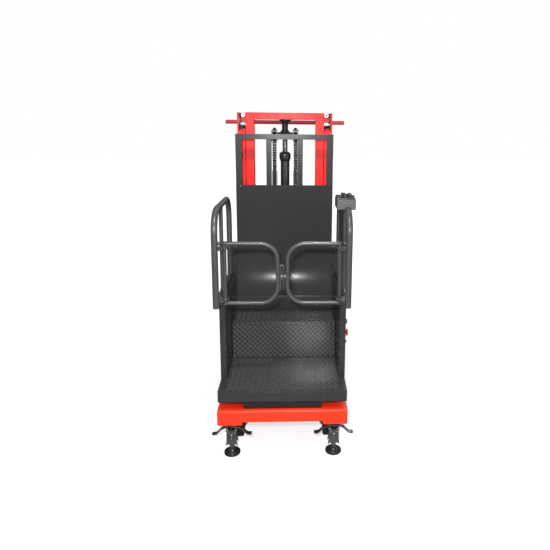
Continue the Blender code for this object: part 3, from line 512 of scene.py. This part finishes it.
def gate(name, side):
    """The gate loop rounded, its hinge tube and end welds, and on the left one the arched latch."""
    y = at(GATE_Y)
    leg, hinge, tall = side * GATE_LEG, side * HINGE_X, GATE_TOP - GATE_LOW + 0.020
    shapes = [
        swept([(hinge, y, GATE_TOP), (leg, y, GATE_TOP), (leg, y, GATE_LOW), (hinge, y, GATE_LOW)], GATE_R,
              GATE_BEND, 24, 14),
        spun([(0, 0), (GATE_R - 0.002, 0), (GATE_R, 0.002), (GATE_R, tall - 0.002), (GATE_R - 0.002, tall),
              (0, tall)], (hinge, y, GATE_LOW - 0.010), "Z", 28),
    ]
    for z in (GATE_TOP, GATE_LOW):
        shapes.append(ring_bead((hinge - side * (GATE_R - 0.0005), y, z), GATE_R, "X", 0.0020, 36))
    if side < 0:
        near, far = LATCH_R - 0.002 - GATE_LEG + GATE_R, GATE_LEG - GATE_R - LATCH_R - 0.005
        arch = [(near, y, LATCH_LOW), (near, y, LATCH_TOP), (far, y, LATCH_TOP), (far, y, LATCH_LOW)]
        shapes.append(swept(arch, LATCH_R + 0.0006, (far - near) / 2 - 0.0003, 16, 10))
        weld_x, weld_y = near - 0.0022, y - 0.0030
        for z in (LATCH_LOW + 0.012, LATCH_TOP - 0.030):
            shapes.append(bead([(weld_x, weld_y, z), (weld_x, weld_y, z + 0.012)], 0.0018))
    piece(f"{name}_loop", name, TUBE_PAINT, shapes, 40, (name,))


for label, sign in SIDES:
    rail(f"rail_{label}", sign)
    gate(f"gate_{label}", sign)


# Tread plate lugs

LUG_LONG, LUG_WIDE, LUG_HIGH, LUG_SIDES = 0.0250, 0.0082, 0.0018, 10
LUG_RINGS = ((1.0, -0.1), (0.86, 0.42), (0.60, 0.82), (0.30, 1.0))
TREAD_PITCH, TREAD_MARGIN = 0.0145, 0.012


def lug(centre, along, across, up):
    """One raised lens-shaped lug, domed: each ring has a share of the width and of the height."""
    corners, faces = [], []
    for share, rise in LUG_RINGS:
        for n in range(LUG_SIDES):
            angle = 2 * pi * (n + 0.5) / LUG_SIDES
            reach = along * cos(angle) * LUG_LONG / 2 * (0.3 + 0.7 * share)
            corners.append(centre + reach + across * sin(angle) * LUG_WIDE / 2 * share + up * LUG_HIGH * rise)
    last = (len(LUG_RINGS) - 1) * LUG_SIDES
    for start in range(0, last, LUG_SIDES):
        faces += belt(start, start + LUG_SIDES, LUG_SIDES)
    faces.append([last + n for n in range(LUG_SIDES)])
    return corners, faces


def tread(name, origin, right, up, normal, wide, high):
    """Lugs over a rectangle from an origin corner: slanting columns that alternate, set half a step apart."""
    origin, right, up, normal = (Vector(v) for v in (origin, right, up, normal))
    pitch = TREAD_PITCH
    columns = int((wide - 2 * TREAD_MARGIN) / pitch) + 1
    rows = int((high - 2 * TREAD_MARGIN) / pitch) + 1
    start = origin + right * (wide - (columns - 1) * pitch) / 2 + up * (high - (rows - 1) * pitch) / 2
    shapes = []
    for column in range(columns):
        slant = 1 if column % 2 else -1
        along = (right + up * slant).normalized()
        across = (up - right * slant).normalized()
        for row in range(column % 2, rows, 2):
            shapes.append(lug(start + right * column * pitch + up * row * pitch, along, across, normal))
    piece(name, "platform", TREAD_PLATE, shapes, 60)


tread("deck_tread", (-0.2965, at(0.012), DECK_TOP), (1, 0, 0), (0, 1, 0), (0, 0, 1), 0.593, RISER - 0.014)
tread("riser_tread", (-0.296, at(RISER), DECK_TOP + 0.002), (1, 0, 0), (0, 0, 1), (0, -1, 0), 0.592,
      STEP_TOP - DECK_TOP - 0.006)
tread("step_tread", (-0.290, at(RISER + 0.004), STEP_TOP), (1, 0, 0), (0, 1, 0), (0, 0, 1), 0.580,
      STEP_BACK - COVE_R - RISER - 0.006)

# Chains

LINK_R, LINK_WAIST, LINK_THICK = 0.0058, 0.0044, 0.0021
EVEN_LANES = (-0.0096, -0.0048, 0.0, 0.0048, 0.0096)
ODD_LANES = (-0.0072, -0.0024, 0.0024, 0.0072)
PIN = [(0, -0.0122), (0.0024, -0.0122), (0.0030, -0.0114), (0.0030, 0.0114), (0.0024, 0.0122), (0, 0.0122)]


def link(x, y, z, direction, side):
    """One waisted chain plate over a pitch, standing in the plane across x."""
    outline = []
    for end in (1, -1):
        for n in range(7):
            angle = (pi / 2 - n * pi / 6) if end > 0 else (-pi / 2 - n * pi / 6)
            outline.append((LINK_R * cos(angle) + end * PITCH / 2, LINK_R * sin(angle)))
        outline.append((0.0, -LINK_WAIST * end))
    count = len(outline)
    corners = []
    for dx in (-LINK_THICK / 2, LINK_THICK / 2):
        for along, off in outline:
            corners.append(Vector((x + dx, y, z)) + direction * along + side * off)
    faces = [list(range(count)), [count + n for n in range(count)][::-1]]
    faces += [[n, (n + 1) % count, count + (n + 1) % count, count + n] for n in range(count)]
    return corners, faces


def chain(name, x):
    """A leaf chain, five and four plates by turns on pins, over the sheave and down both sides."""
    reach = SHEAVE_R + 0.0040
    turn_steps = 6
    stations = []
    n_front, n_rear = (int((SHEAVE_Z - low) / PITCH) for low in CHAIN_LOW)
    for n in range(n_front, 0, -1):
        stations.append(Vector((x, at(MAST_MID) - reach, SHEAVE_Z - n * PITCH)))
    for n in range(turn_steps + 1):
        angle = pi * n / turn_steps
        stations.append(Vector((x, at(MAST_MID) - reach * cos(angle), SHEAVE_Z + reach * sin(angle))))
    for n in range(1, n_rear + 1):
        stations.append(Vector((x, at(MAST_MID) + reach, SHEAVE_Z - n * PITCH)))
    shapes = []
    for n, (start, end) in enumerate(zip(stations, stations[1:])):
        direction = (end - start).normalized()
        side = Vector((1, 0, 0)).cross(direction)
        middle = (start + end) / 2
        for lane in ODD_LANES if n % 2 else EVEN_LANES:
            shapes.append(link(x + lane, middle.y, middle.z, direction, side))
    for place in stations:
        shapes.append(spun(PIN, place, "X", 10))
    piece(f"{name}_links", "inner_mast", CHAIN, shapes, 30, (name,))


for label, sign in SIDES:
    chain(f"chain_{label}", sign * CHAIN_X)

# Cylinder, rod and crosshead

CENTRE = (0, at(MAST_MID), 0)
FOOT = BASE_TOP + GAP
UNDER = TOP_BEAM_LOW - GAP


def cylinder():
    """The turned lift cylinder with its weld and port, the gland's wiper and the piston rod."""
    barrel = [(0, FOOT), (0.047, FOOT), (0.050, FOOT + 0.002), (0.050, FOOT + 0.008), (0.048, FOOT + 0.010),
              (BARREL_R + 0.004, FOOT + 0.010), (BARREL_R, FOOT + 0.015), (BARREL_R, BARREL_TOP - 0.006),
              (BARREL_R + 0.0015, BARREL_TOP - 0.0045), (GLAND_R - 0.003, BARREL_TOP + 0.004),
              (GLAND_R - 0.0006, BARREL_TOP + 0.009), (GLAND_R, BARREL_TOP + 0.015),
              (GLAND_R, GLAND_TOP - 0.026), (GLAND_R - 0.0012, GLAND_TOP - 0.025),
              (GLAND_R - 0.0012, GLAND_TOP - 0.0235), (GLAND_R, GLAND_TOP - 0.0225),
              (GLAND_R, GLAND_TOP - 0.014), (GLAND_R - 0.0025, GLAND_TOP - 0.008),
              (GLAND_R - 0.007, GLAND_TOP - 0.003), (GLAND_R - 0.013, GLAND_TOP), (0.0200, GLAND_TOP),
              (0.0195, GLAND_TOP - 0.003), (0.0165, GLAND_TOP - 0.003), (0.0165, BARREL_TOP), (0, BARREL_TOP)]
    y, z = at(MAST_MID + BARREL_R - 0.002), FOOT + 0.050
    shapes = [spun(barrel, CENTRE, "Z", 64),
              ring_bead((0, at(MAST_MID), FOOT + 0.0125), BARREL_R + 0.002, "Z", 0.0028, 60),
              spun([(0, 0), (0.011, 0), (0.011, 0.010), (0, 0.010)], (0, y, z), "Y", 6),
              spun([(0, 0), (0.0075, 0), (0.0075, 0.008), (0.0060, 0.010), (0, 0.010)],
                   (0, y + 0.009, z), "Y", 24)]
    piece("cylinder_tube", "chassis", CYLINDER_PAINT, shapes, 35, ("lift_cylinder",))
    wiper = [(ROD_R + 0.0004, GLAND_TOP - 0.0028), (0.0194, GLAND_TOP - 0.0028), (0.0190, GLAND_TOP + 0.0004),
             (ROD_R + 0.0009, GLAND_TOP + 0.0016), (ROD_R + 0.0003, GLAND_TOP + 0.0010)]
    piece("gland_wiper", "chassis", RUBBER, [spun(wiper, CENTRE, "Z", 48)])
    bar = [(0, ROD_LOW), (ROD_R - 0.001, ROD_LOW), (ROD_R, ROD_LOW + 0.001), (ROD_R, HEAD_LOW - GAP - 0.0015),
           (ROD_R - 0.0015, HEAD_LOW - GAP), (0, HEAD_LOW - GAP)]
    piece("rod_bar", "inner_mast", CHROME, [spun(bar, CENTRE, "Z", 64)], 35, ("piston_rod",))


def crosshead():
    """The rod's head with its waisted post, a bolted fork for each sheave, and the sheaves."""
    post = [(0, HEAD_TOP - 0.002), (0.034, HEAD_TOP - 0.002), (0.034, HEAD_TOP + 0.0022),
            (0.0265, HEAD_TOP + 0.0060), (0.0225, HEAD_TOP + 0.0100), (0.0203, HEAD_TOP + 0.0150),
            (0.0195, HEAD_TOP + 0.0210), (0.0195, UNDER - 0.0165), (0.0215, UNDER - 0.0125),
            (0.026, UNDER - 0.0095), (0.0350, UNDER - 0.0085), (0.0355, UNDER - 0.0070),
            (0.0355, UNDER), (0, UNDER)]
    rim, cap_top = SHEAVE_R - 0.0005, 1.6765
    sheave = [(0, -0.011), (0.024, -0.011), (rim, -0.0095), (rim, 0.0095), (0.024, 0.011), (0, 0.011)]
    head = [box((-0.052, 0.052), deep(MAST_MID - 0.018, MAST_MID + 0.018), (HEAD_LOW, HEAD_TOP), 0.002),
            spun(post, CENTRE, "Z", 56)]
    for _, side in SIDES:
        for near, far in ((-0.017, -0.014), (0.014, 0.018)):
            head.append(box(span(side, CHAIN_X + near, CHAIN_X + far),
                            deep(MAST_MID - 0.022, MAST_MID + 0.022), (1.604, 1.675), 0.0010))
        head.append(box(span(side, CHAIN_X - 0.0175, CHAIN_X + 0.0185),
                        deep(MAST_MID - 0.0225, MAST_MID + 0.0225), (1.670, cap_top), 0.0012))
        head.append(spun(sheave, (side * CHAIN_X, at(MAST_MID), SHEAVE_Z), "X", 48))
    piece("crosshead_body", "inner_mast", HEAD_PAINT, head, 35, ("crosshead",))
    bolts = []
    for _, side in SIDES:
        x, y = side * CHAIN_X, at(MAST_MID)
        bolts += hexagon((x, y, cap_top), (0, 0, 1), 0.0085, 0.009)
        bolts.append(spun([(0, 0), (0.0042, 0), (0.0042, 0.0025), (0.0034, 0.0035), (0, 0.0035)],
                          (x, y, 1.6865), "Z", 20))
        bolts += hexagon((side * (CHAIN_X + 0.018), y, SHEAVE_Z), (side, 0, 0), 0.0060, 0.0030, False)
    piece("crosshead_bolts", "inner_mast", HEAD_PAINT, bolts, 30)


cylinder()
crosshead()

# Mast: guides, welds, bolts


def guide(name, side):
    """The fixed roller and eye at the top of each outer channel, with its bracket and bolts."""
    web = OUTER_X[1] - 0.009 - GAP
    axis = (0, at(MAST_MID), 1.708)
    bracket = [box(span(side, web - 0.006, web), deep(0.798, 0.866), (1.682, MAST_TOP - 0.001), 0.0012),
               box(span(side, 0.2545, web - 0.004), deep(0.8005, 0.8055), (1.754, 1.772), 0.0012)]
    eye = [(0.0045, 0), (0.0125, 0), (0.0140, 0.0015), (0.0140, 0.0105), (0.0125, 0.012), (0.0045, 0.012)]
    sleeve = [(0, 0.241), (0.0185, 0.241), (0.020, 0.2425), (0.020, 0.266), (0.0185, 0.2675),
              (0.012, 0.2675), (0.012, web - 0.003), (0, web - 0.003)]
    roller = [(0, 0.2225), (0.011, 0.2225), (0.012, 0.2240), (0.019, 0.2240), (0.0195, 0.2225),
              (0.0335, 0.2222), (0.035, 0.2236), (0.035, 0.2416), (0.0335, 0.243), (0.019, 0.243), (0, 0.243)]
    piece(f"{name}_bracket", "chassis", CYLINDER_PAINT, bracket, 32, (name,))
    bright = [spun(eye, (side * 0.2535, at(0.796), 1.7635), "Y", 32)]
    for profile, steps in ((sleeve, 40), (roller, 56)):
        bright.append(spun([(r, side * along) for r, along in profile], axis, "X", steps))
    piece(f"{name}_roller", "chassis", ZINC, bright, 32)
    bolts = []
    for z in (1.692, 1.728):
        bolts += hexagon((side * (web - 0.006), at(0.858), z), (-side, 0, 0), 0.0042, 0.0036)
    piece(f"{name}_bolts", "chassis", BOLT, bolts, 30)


def inner_mast_welds():
    """Beads between the lifting mast's top beam and its two H beams, in front and underneath."""
    welds = []
    for _, side in SIDES:
        x, front, under = side * (INNER_X[0] - 0.0003), at(MAST_FRONT - 0.0003), TOP_BEAM_LOW - 0.0004
        welds.append(bead([(x, front, TOP_BEAM_LOW + 0.002), (x, front, MAST_TOP - 0.002)], 0.0016))
        welds.append(bead([(x, at(MAST_FRONT + 0.004), under), (x, at(MAST_FRONT + 0.096), under)], 0.0022))
    piece("inner_mast_welds", "inner_mast", MAST_PAINT, welds, 60)


def outer_mast_welds():
    """Beads at each channel's foot, along both edges of the two rear ties, and round the top bar."""
    welds = []
    foot, front, rear_y = BASE_TOP + 0.001, at(OUTER_FRONT - 0.0004), at(OUTER_FRONT + OUTER_DEEP + 0.0006)
    for _, side in SIDES:
        outer = side * (OUTER_X[1] + 0.0002)
        welds.append(bead([(outer, at(OUTER_FRONT + 0.004), foot),
                           (outer, at(OUTER_FRONT + OUTER_DEEP - 0.004), foot)], 0.0035))
        welds.append(bead([(side * (OUTER_X[0] + 0.002), front, foot), (outer, front, foot)], 0.0035))
        for low in (0.300, 0.950):
            for z in (low, low + 0.060):
                welds.append(bead([(side * (OUTER_X[0] + 0.004), rear_y, z),
                                   (side * (OUTER_X[1] - 0.002), rear_y, z)], 0.0024))
        bar = (side * (OUTER_X[1] - 0.012), at(OUTER_FRONT + OUTER_DEEP + 0.0128), 1.723)
        welds.append(ring_bead(bar, 0.0128, "X", 0.0018, 40))
    piece("outer_mast_welds", "chassis", MAST_PAINT, welds, 60)


for label, sign in SIDES:
    guide(f"top_guide_{label}", sign)
inner_mast_welds()
outer_mast_welds()

# Casters, wheels and floor locks


def wheel(name, body, x, y):
    """A round tyre on a dished black rim."""
    half = WHEEL_WIDE / 2
    tyre = [(0.050, -half + 0.002), (WHEEL_R - 0.008, -half), (WHEEL_R - 0.0025, -half + 0.002),
            (WHEEL_R, -half + 0.008), (WHEEL_R, half - 0.008), (WHEEL_R - 0.0025, half - 0.002),
            (WHEEL_R - 0.008, half), (0.050, half - 0.002)]
    face = [(0.0075, half - 0.002), (0.016, half - 0.002), (0.018, half - 0.0035), (0.022, half - 0.0040),
            (0.026, half - 0.010), (0.044, half - 0.010), (0.047, half - 0.004), (0.0502, half - 0.003)]
    rim = [(r, -along) for r, along in face] + face[::-1]
    spot = (x, at(y), WHEEL_R)
    main = piece(f"{name}_tyre", body, TREAD, [spun(tyre, spot, "X", 72)], 35, (name,))
    hub = piece(f"{name}_rim", body, PLASTIC, [spun(rim, spot, "X", 56)], 35)
    hub.parent = main
    hub.matrix_parent_inverse = Matrix.Identity(4)
    hub.matrix_basis = Matrix.Identity(4)


def caster(label, x, y, y_axle, body):
    """Fork dressing: race lip, axle nuts and plate bolts, on a turning front fork or a fixed rear one."""
    top = MOUNT_LOW - GAP
    half = WHEEL_WIDE / 2 + 0.004
    shapes = [spun([(0.027, 0), (0.0315, 0.001), (0.0325, 0.004), (0.0315, 0.0075), (0.027, 0.0085)],
                   (x, at(y), top - 0.0165), "Z", 40)]
    for way in (-1, 1):
        shapes += hexagon((x + way * (half + 0.004), at(y_axle), WHEEL_R), (way, 0, 0), 0.0085, 0.006)
        for dy in (-0.038, 0.038):
            shapes += hexagon((x + way * 0.031, at(y + dy), top - 0.007), (0, 0, -1), 0.0060, 0.004)
    piece(f"{label}_bolts", body, BOLT, shapes, 30)


for label, sign in SIDES:
    x, y = sign * FRONT_SWIVEL[0], FRONT_SWIVEL[1]
    wheel(f"front_wheel_{label}", f"front_wheel_{label}", x, y + TRAIL)
    caster(f"front_fork_{label}", x, y, y + TRAIL, f"front_swivel_{label}")
    x, y = sign * REAR_WHEEL[0], REAR_WHEEL[1]
    wheel(f"rear_wheel_{label}", f"rear_wheel_{label}", x, y)
    caster(f"rear_fork_{label}", x, y, y, "chassis")


def lock(label, sign):
    """The floor lock's foot as a ribbed pad on a dark steel spindle, and the housing's bolts and rivets."""
    x, y = sign * LOCK[0], at(LOCK[1])
    pad = [(0, 0), (PAD_R - 0.003, 0), (PAD_R - 0.0008, 0.001), (PAD_R, 0.003), (PAD_R, 0.0075),
           (PAD_R - 0.0015, 0.0100)]
    for r in (0.0395, 0.0355, 0.0315, 0.0275):
        rise = 0.0105 + (0.0395 - r) * 0.34
        pad += [(r, rise), (r - 0.0006, rise + 0.0010), (r - 0.0022, rise + 0.0010), (r - 0.0028, rise)]
    pad += [(0.0180, 0.0150), (0.0150, 0.0150), (0, 0.0150)]
    body = f"lock_foot_{label}"
    piece(f"lock_pad_{label}", body, RUBBER, [spun(pad, (x, y, 0), "Z", 64)], 30, (body,))
    stem = [(0, 0.0140), (0.0165, 0.0140), (0.0165, 0.0175), (0.0145, 0.0195), (0.0128, 0.0205),
            (0.0128, 0.100), (0, 0.100)]
    piece(f"lock_spindle_{label}", body, DARK_STEEL, [spun(stem, (x, y, 0), "Z", 48)], 30)
    bolts = []
    for dx in (-0.021, 0.021):
        for dy in (-0.020, 0.020):
            bolts += hexagon((x + dx, y + dy, LOCK_TOP), (0, 0, 1), 0.0058, 0.006, False)
    domed = [(0, 0), (0.0062, 0), (0.0058, 0.0022), (0.0042, 0.0040), (0.0020, 0.0050), (0, 0.0052)]
    rivet = [(0, 0), (0.0040, 0), (0.0030, 0.0016), (0, 0.0020)]
    small = [(0, 0), (0.0038, 0), (0.0030, 0.0015), (0, 0.0019)]
    for way in (-1, 1):
        outward = (0, way, 0)
        bolts.append(spun(domed, (x, y + way * 0.0228, 0.114), outward, 24))
        bolts.append(spun(rivet, (x, y + way * 0.0275, 0.098), outward, 16))
        for dx in (-0.015, 0.015):
            bolts.append(spun(small, (x + dx, y + way * 0.0230, 0.128), outward, 16))
    piece(f"lock_bolts_{label}", "chassis", BOLT, bolts, 30)


for label, sign in SIDES:
    lock(label, sign)

# Controls


def controls():
    """The control box's knobs and screws, and the push button station on the right side plate."""
    top = 1.341
    knobs = [box((0.270, 0.360), deep(0.114, 0.248), (top + GAP, top + 0.007), 0.0022)]
    for place, behind, radius, rise in ((0.288, 0.138, 0.008, 0.020), (0.308, 0.128, 0.011, 0.026),
                                        (0.332, 0.132, 0.010, 0.025), (0.350, 0.150, 0.007, 0.017),
                                        (0.305, 0.192, 0.012, 0.024), (0.337, 0.202, 0.010, 0.022)):
        base, high = top + 0.0065, top + rise
        profile = [(0, base), (radius * 1.12, base), (radius * 1.12, base + 0.0025), (radius, base + 0.0035),
                   (radius * 0.94, high - 0.002), (radius * 0.80, high), (0, high)]
        knobs.append(spun(profile, (place, at(behind), 0), "Z", 36))
        ridges, tall = 10, high - base - 0.005
        for n in range(ridges):
            angle = 2 * pi * n / ridges
            spot = (place + radius * 0.95 * cos(angle), at(behind) + radius * 0.95 * sin(angle), base + 0.003)
            knobs.append(spun([(0, 0), (0.0011, 0), (0.0011, tall), (0, tall)], spot, "Z", 8))
    piece("control_top", "platform", PLASTIC, knobs, 32, ("control_knobs",))
    screws = []
    for px in (0.276, 0.354):
        for behind in (0.120, 0.242):
            screws.append(spun([(0, 0), (0.0030, 0), (0.0026, 0.0012), (0, 0.0016)],
                               (px, at(behind), top + 0.007), "Z", 16))
    piece("control_screws", "platform", BOLT, screws, 30)
    case = [box((0.3003, 0.328), deep(0.155, 0.225), (0.528, 0.712), 0.004, 3),
            box((0.3275, 0.3292), deep(0.161, 0.219), (0.534, 0.706), 0.0008)]
    start, stop, low = (0, at(0.190), 0.676), (0, at(0.190), 0.614), (0, at(0.190), 0.562)
    for spot, radius in ((start, 0.0155), (stop, 0.0175), (low, 0.0120)):
        collar = [(0, 0.328), (radius, 0.328), (radius, 0.3305), (radius - 0.0015, 0.332), (0, 0.332)]
        case.append(spun(collar, spot, "X", 36))
    piece("button_case", "platform", PLASTIC, case, 32, ("button_station",))
    green = [(0, 0.331), (0.0125, 0.331), (0.0125, 0.3385), (0.0110, 0.340), (0, 0.340)]
    piece("button_start", "platform", BUTTON_GREEN, [spun(green, start, "X", 36)], 32)
    mushroom = [(0, 0.331), (0.010, 0.331), (0.010, 0.336), (0.0185, 0.337), (0.020, 0.339), (0.0195, 0.342),
                (0.015, 0.3445), (0, 0.345)]
    flat = [(0, 0.331), (0.0085, 0.331), (0.0085, 0.337), (0.007, 0.338), (0, 0.338)]
    piece("button_stop", "platform", BUTTON_RED,
          [spun(mushroom, stop, "X", 44), spun(flat, low, "X", 32)], 32)


controls()

# Rear cover, handle


def cover():
    """The power cover's louvres and raised panel, its screws, and its catch with a pull loop above."""
    half, skin, step, slat = 0.255, at(1.185), 0.022, 0.009
    shapes = []
    for n in range(9):
        z = 0.620 + n * step
        shapes.append(box((-0.150, 0.150), (skin - 0.001, skin + 0.0035), (z, z + slat), 0.0016))
    for _, side in SIDES:
        for n in range(6):
            z = 0.640 + n * step
            shapes.append(box(span(side, half - 0.001, half + 0.003), deep(1.000, 1.120), (z, z + slat),
                              0.0014))
    shapes.append(box((-0.235, 0.235), (skin - 0.001, skin + 0.002), (0.300, 0.560), 0.0012))
    piece("cover_louvres", "chassis", FRAME_PAINT, shapes, 35)
    screws = []
    for x in (-0.220, 0.220):
        for z in (0.316, 0.544):
            screws += hexagon((x, skin + 0.002, z), (0, 1, 0), 0.0045, 0.0035)
        for z in (0.860, 0.700):
            screws += hexagon((x + 0.012 * (1 if x > 0 else -1), skin, z), (0, 1, 0), 0.0045, 0.0035)
    piece("cover_screws", "chassis", BOLT, screws, 30)
    reach, z = 0.060, 0.845
    loop = [(-reach, skin - 0.002, z), (-reach, skin + 0.020, z), (reach, skin + 0.020, z),
            (reach, skin - 0.002, z)]
    latch = [box((-0.022, 0.022), (skin - 0.001, skin + 0.007), (0.575, 0.600), 0.003),
             swept(loop, 0.0045, 0.009, 16, 8)]
    piece("cover_latch", "chassis", PLASTIC, latch, 35)


def push_handle():
    """The bent handle bar with a weld at each end, and its two ribbed grips."""
    reach, z = 0.240, 0.980
    start, end = at(OUTER_FRONT + OUTER_DEEP + 0.035 + GAP), at(LENGTH - 0.016)
    path = [(-reach, start, z), (-reach, end, z), (reach, end, z), (reach, start, z)]
    bar = [swept(path, 0.014, 0.060, 28, 14)]
    for _, side in SIDES:
        bar.append(ring_bead((side * reach, start + 0.0006, z), 0.0140, "Y", 0.0022, 40))
    piece("push_handle_bar", "chassis", TUBE_PAINT, bar, 40, ("push_handle",))
    ribs = []
    for n in range(24):
        along = 0.055 + n * 0.0052
        ridge = 0.0160 if n % 2 else 0.0152
        ribs += [(ridge, along), (ridge, along + 0.0036)]
    profile = [(0.0142, ribs[0][1] - 0.001)] + ribs + [(0.0142, ribs[-1][1] + 0.001)]
    grips = []
    for _, side in SIDES:
        grips.append(spun([(r, side * along) for r, along in profile], (0, end, z), "X", 32))
    piece("push_handle_grips", "chassis", RUBBER, grips, 30)


cover()
push_handle()

# Camera, floor, light

PICTURE_PX, FOCAL_PX, PRINCIPAL_PX, SENSOR = 550.0, 495.0, (315.6, 228.0), 36.0
WHITE = (1, 1, 1, 1)


def camera():
    """The photograph's camera: fitted focal length, place, tilt and picture shift."""
    made = bpy.data.objects.new("camera", bpy.data.cameras.new("camera"))
    bpy.context.scene.collection.objects.link(made)
    bpy.context.scene.camera = made
    made.data.sensor_width = SENSOR
    made.data.lens = FOCAL_PX * SENSOR / PICTURE_PX
    made.data.shift_x = (PICTURE_PX / 2 - PRINCIPAL_PX[0]) / PICTURE_PX
    made.data.shift_y = (PRINCIPAL_PX[1] - PICTURE_PX / 2) / PICTURE_PX
    pitch, yaw, roll = radians(11.0), radians(2.6), radians(0.6)
    forward = Vector((sin(yaw) * cos(pitch), cos(yaw) * cos(pitch), -sin(pitch)))
    right = Vector((cos(yaw), -sin(yaw), 0))
    up = right.cross(forward)
    across = cos(roll) * right + sin(roll) * up
    above = -sin(roll) * right + cos(roll) * up
    place = Matrix((across, above, -forward)).transposed().to_4x4()
    place.translation = Vector((0.0537, at(-2.2969), 1.6664))
    made.matrix_world = place


def lamp(name, place, target, size, watts, spread):
    """An area lamp aimed at a target; spread is the full angle of its light, in degrees."""
    data = bpy.data.lights.new(name, "AREA")
    data.shape = "RECTANGLE"
    data.size, data.size_y = size
    data.energy = watts
    data.spread = radians(spread)
    made = bpy.data.objects.new(name, data)
    bpy.context.scene.collection.objects.link(made)
    made.location = place
    made.rotation_euler = (Vector(target) - Vector(place)).to_track_quat("-Z", "Y").to_euler()


def white_floor(scene):
    """A wide floor that keeps the shadow; the camera also sees it glow, more so further out."""
    data = bpy.data.meshes.new("floor")
    reach = 30.0
    data.from_pydata([(-reach, -reach, 0), (reach, -reach, 0), (reach, reach, 0), (-reach, reach, 0)], [],
                     [(0, 1, 2, 3)])
    floor = bpy.data.objects.new("floor", data)
    scene.collection.objects.link(floor)
    made = bpy.data.materials.new("floor_white")
    made.use_nodes = True
    tree = made.node_tree
    tree.nodes.clear()
    out = tree.nodes.new("ShaderNodeOutputMaterial")
    plain = wire(tree, "BsdfDiffuse", [("Color", (0.50, 0.50, 0.50, 1))]).outputs[0]
    spot = wire(tree, "TexCoord").outputs["Object"]
    away = wire(tree, "VectorMath", [(0, spot)], operation="LENGTH").outputs["Value"]
    glow = wire(tree, "Emission", [("Color", WHITE), ("Strength", ramp(tree, away, 1.2, 4.0, 0.70, 1.05))])
    both = wire(tree, "AddShader", [(0, plain), (1, glow.outputs[0])])
    path = wire(tree, "LightPath").outputs
    eye = maths(tree, "MAXIMUM", path["Is Camera Ray"], path["Is Transmission Ray"])
    mix = wire(tree, "MixShader", [(0, eye), (1, plain), (2, both.outputs[0])])
    tree.links.new(mix.outputs[0], out.inputs[0])
    data.materials.append(made)


def white_world(scene):
    """A white background for the camera, which lights the object at a lower strength."""
    world = bpy.data.worlds.new("world")
    scene.world = world
    world.use_nodes = True
    tree = world.node_tree
    tree.nodes.clear()
    out = tree.nodes.new("ShaderNodeOutputWorld")
    seen = wire(tree, "LightPath").outputs["Is Camera Ray"]
    soft = wire(tree, "Background", [("Color", WHITE), ("Strength", 0.30)]).outputs[0]
    white = wire(tree, "Background", [("Color", WHITE), ("Strength", 1.0)]).outputs[0]
    mix = wire(tree, "MixShader", [(0, seen), (1, soft), (2, white)])
    tree.links.new(mix.outputs[0], out.inputs[0])


def studio():
    """Floor and world, a small flash by the camera and one above it, two narrow lamps and broad fills."""
    scene = bpy.context.scene
    scene.view_settings.view_transform = "Standard"
    white_floor(scene)
    white_world(scene)
    broad, middle, low_middle = 180.0, (0, 0, 0.9), (0, 0, 0.6)
    lamp("flash", (-0.05, -2.93, 1.86), (0, 0, 0.8), (0.16, 0.08), 66, broad)
    lamp("front", (0.10, -1.9, 3.5), low_middle, (0.20, 0.20), 62, broad)
    lamp("glint", (0.20, -0.55, 2.30), (0.16, -0.42, 0.38), (0.08, 0.08), 0.24, 12.0)
    lamp("strip", (2.5, -2.5, 1.7), middle, (0.35, 1.8), 22, broad)
    lamp("fill", (-2.6, -2.3, 2.0), middle, (0.6, 1.6), 14, broad)
    lamp("riser", (0.55, -2.6, 1.25), (0.135, -0.24, 0.53), (0.05, 0.05), 0.2, 7.0)
    lamp("top", (0.2, 0.6, 3.6), low_middle, (1.6, 1.6), 9, broad)
    lamp("back", (1.6, 2.8, 2.4), middle, (1.6, 1.6), 34, broad)


camera()
studio()

bpy.context.view_layer.update()
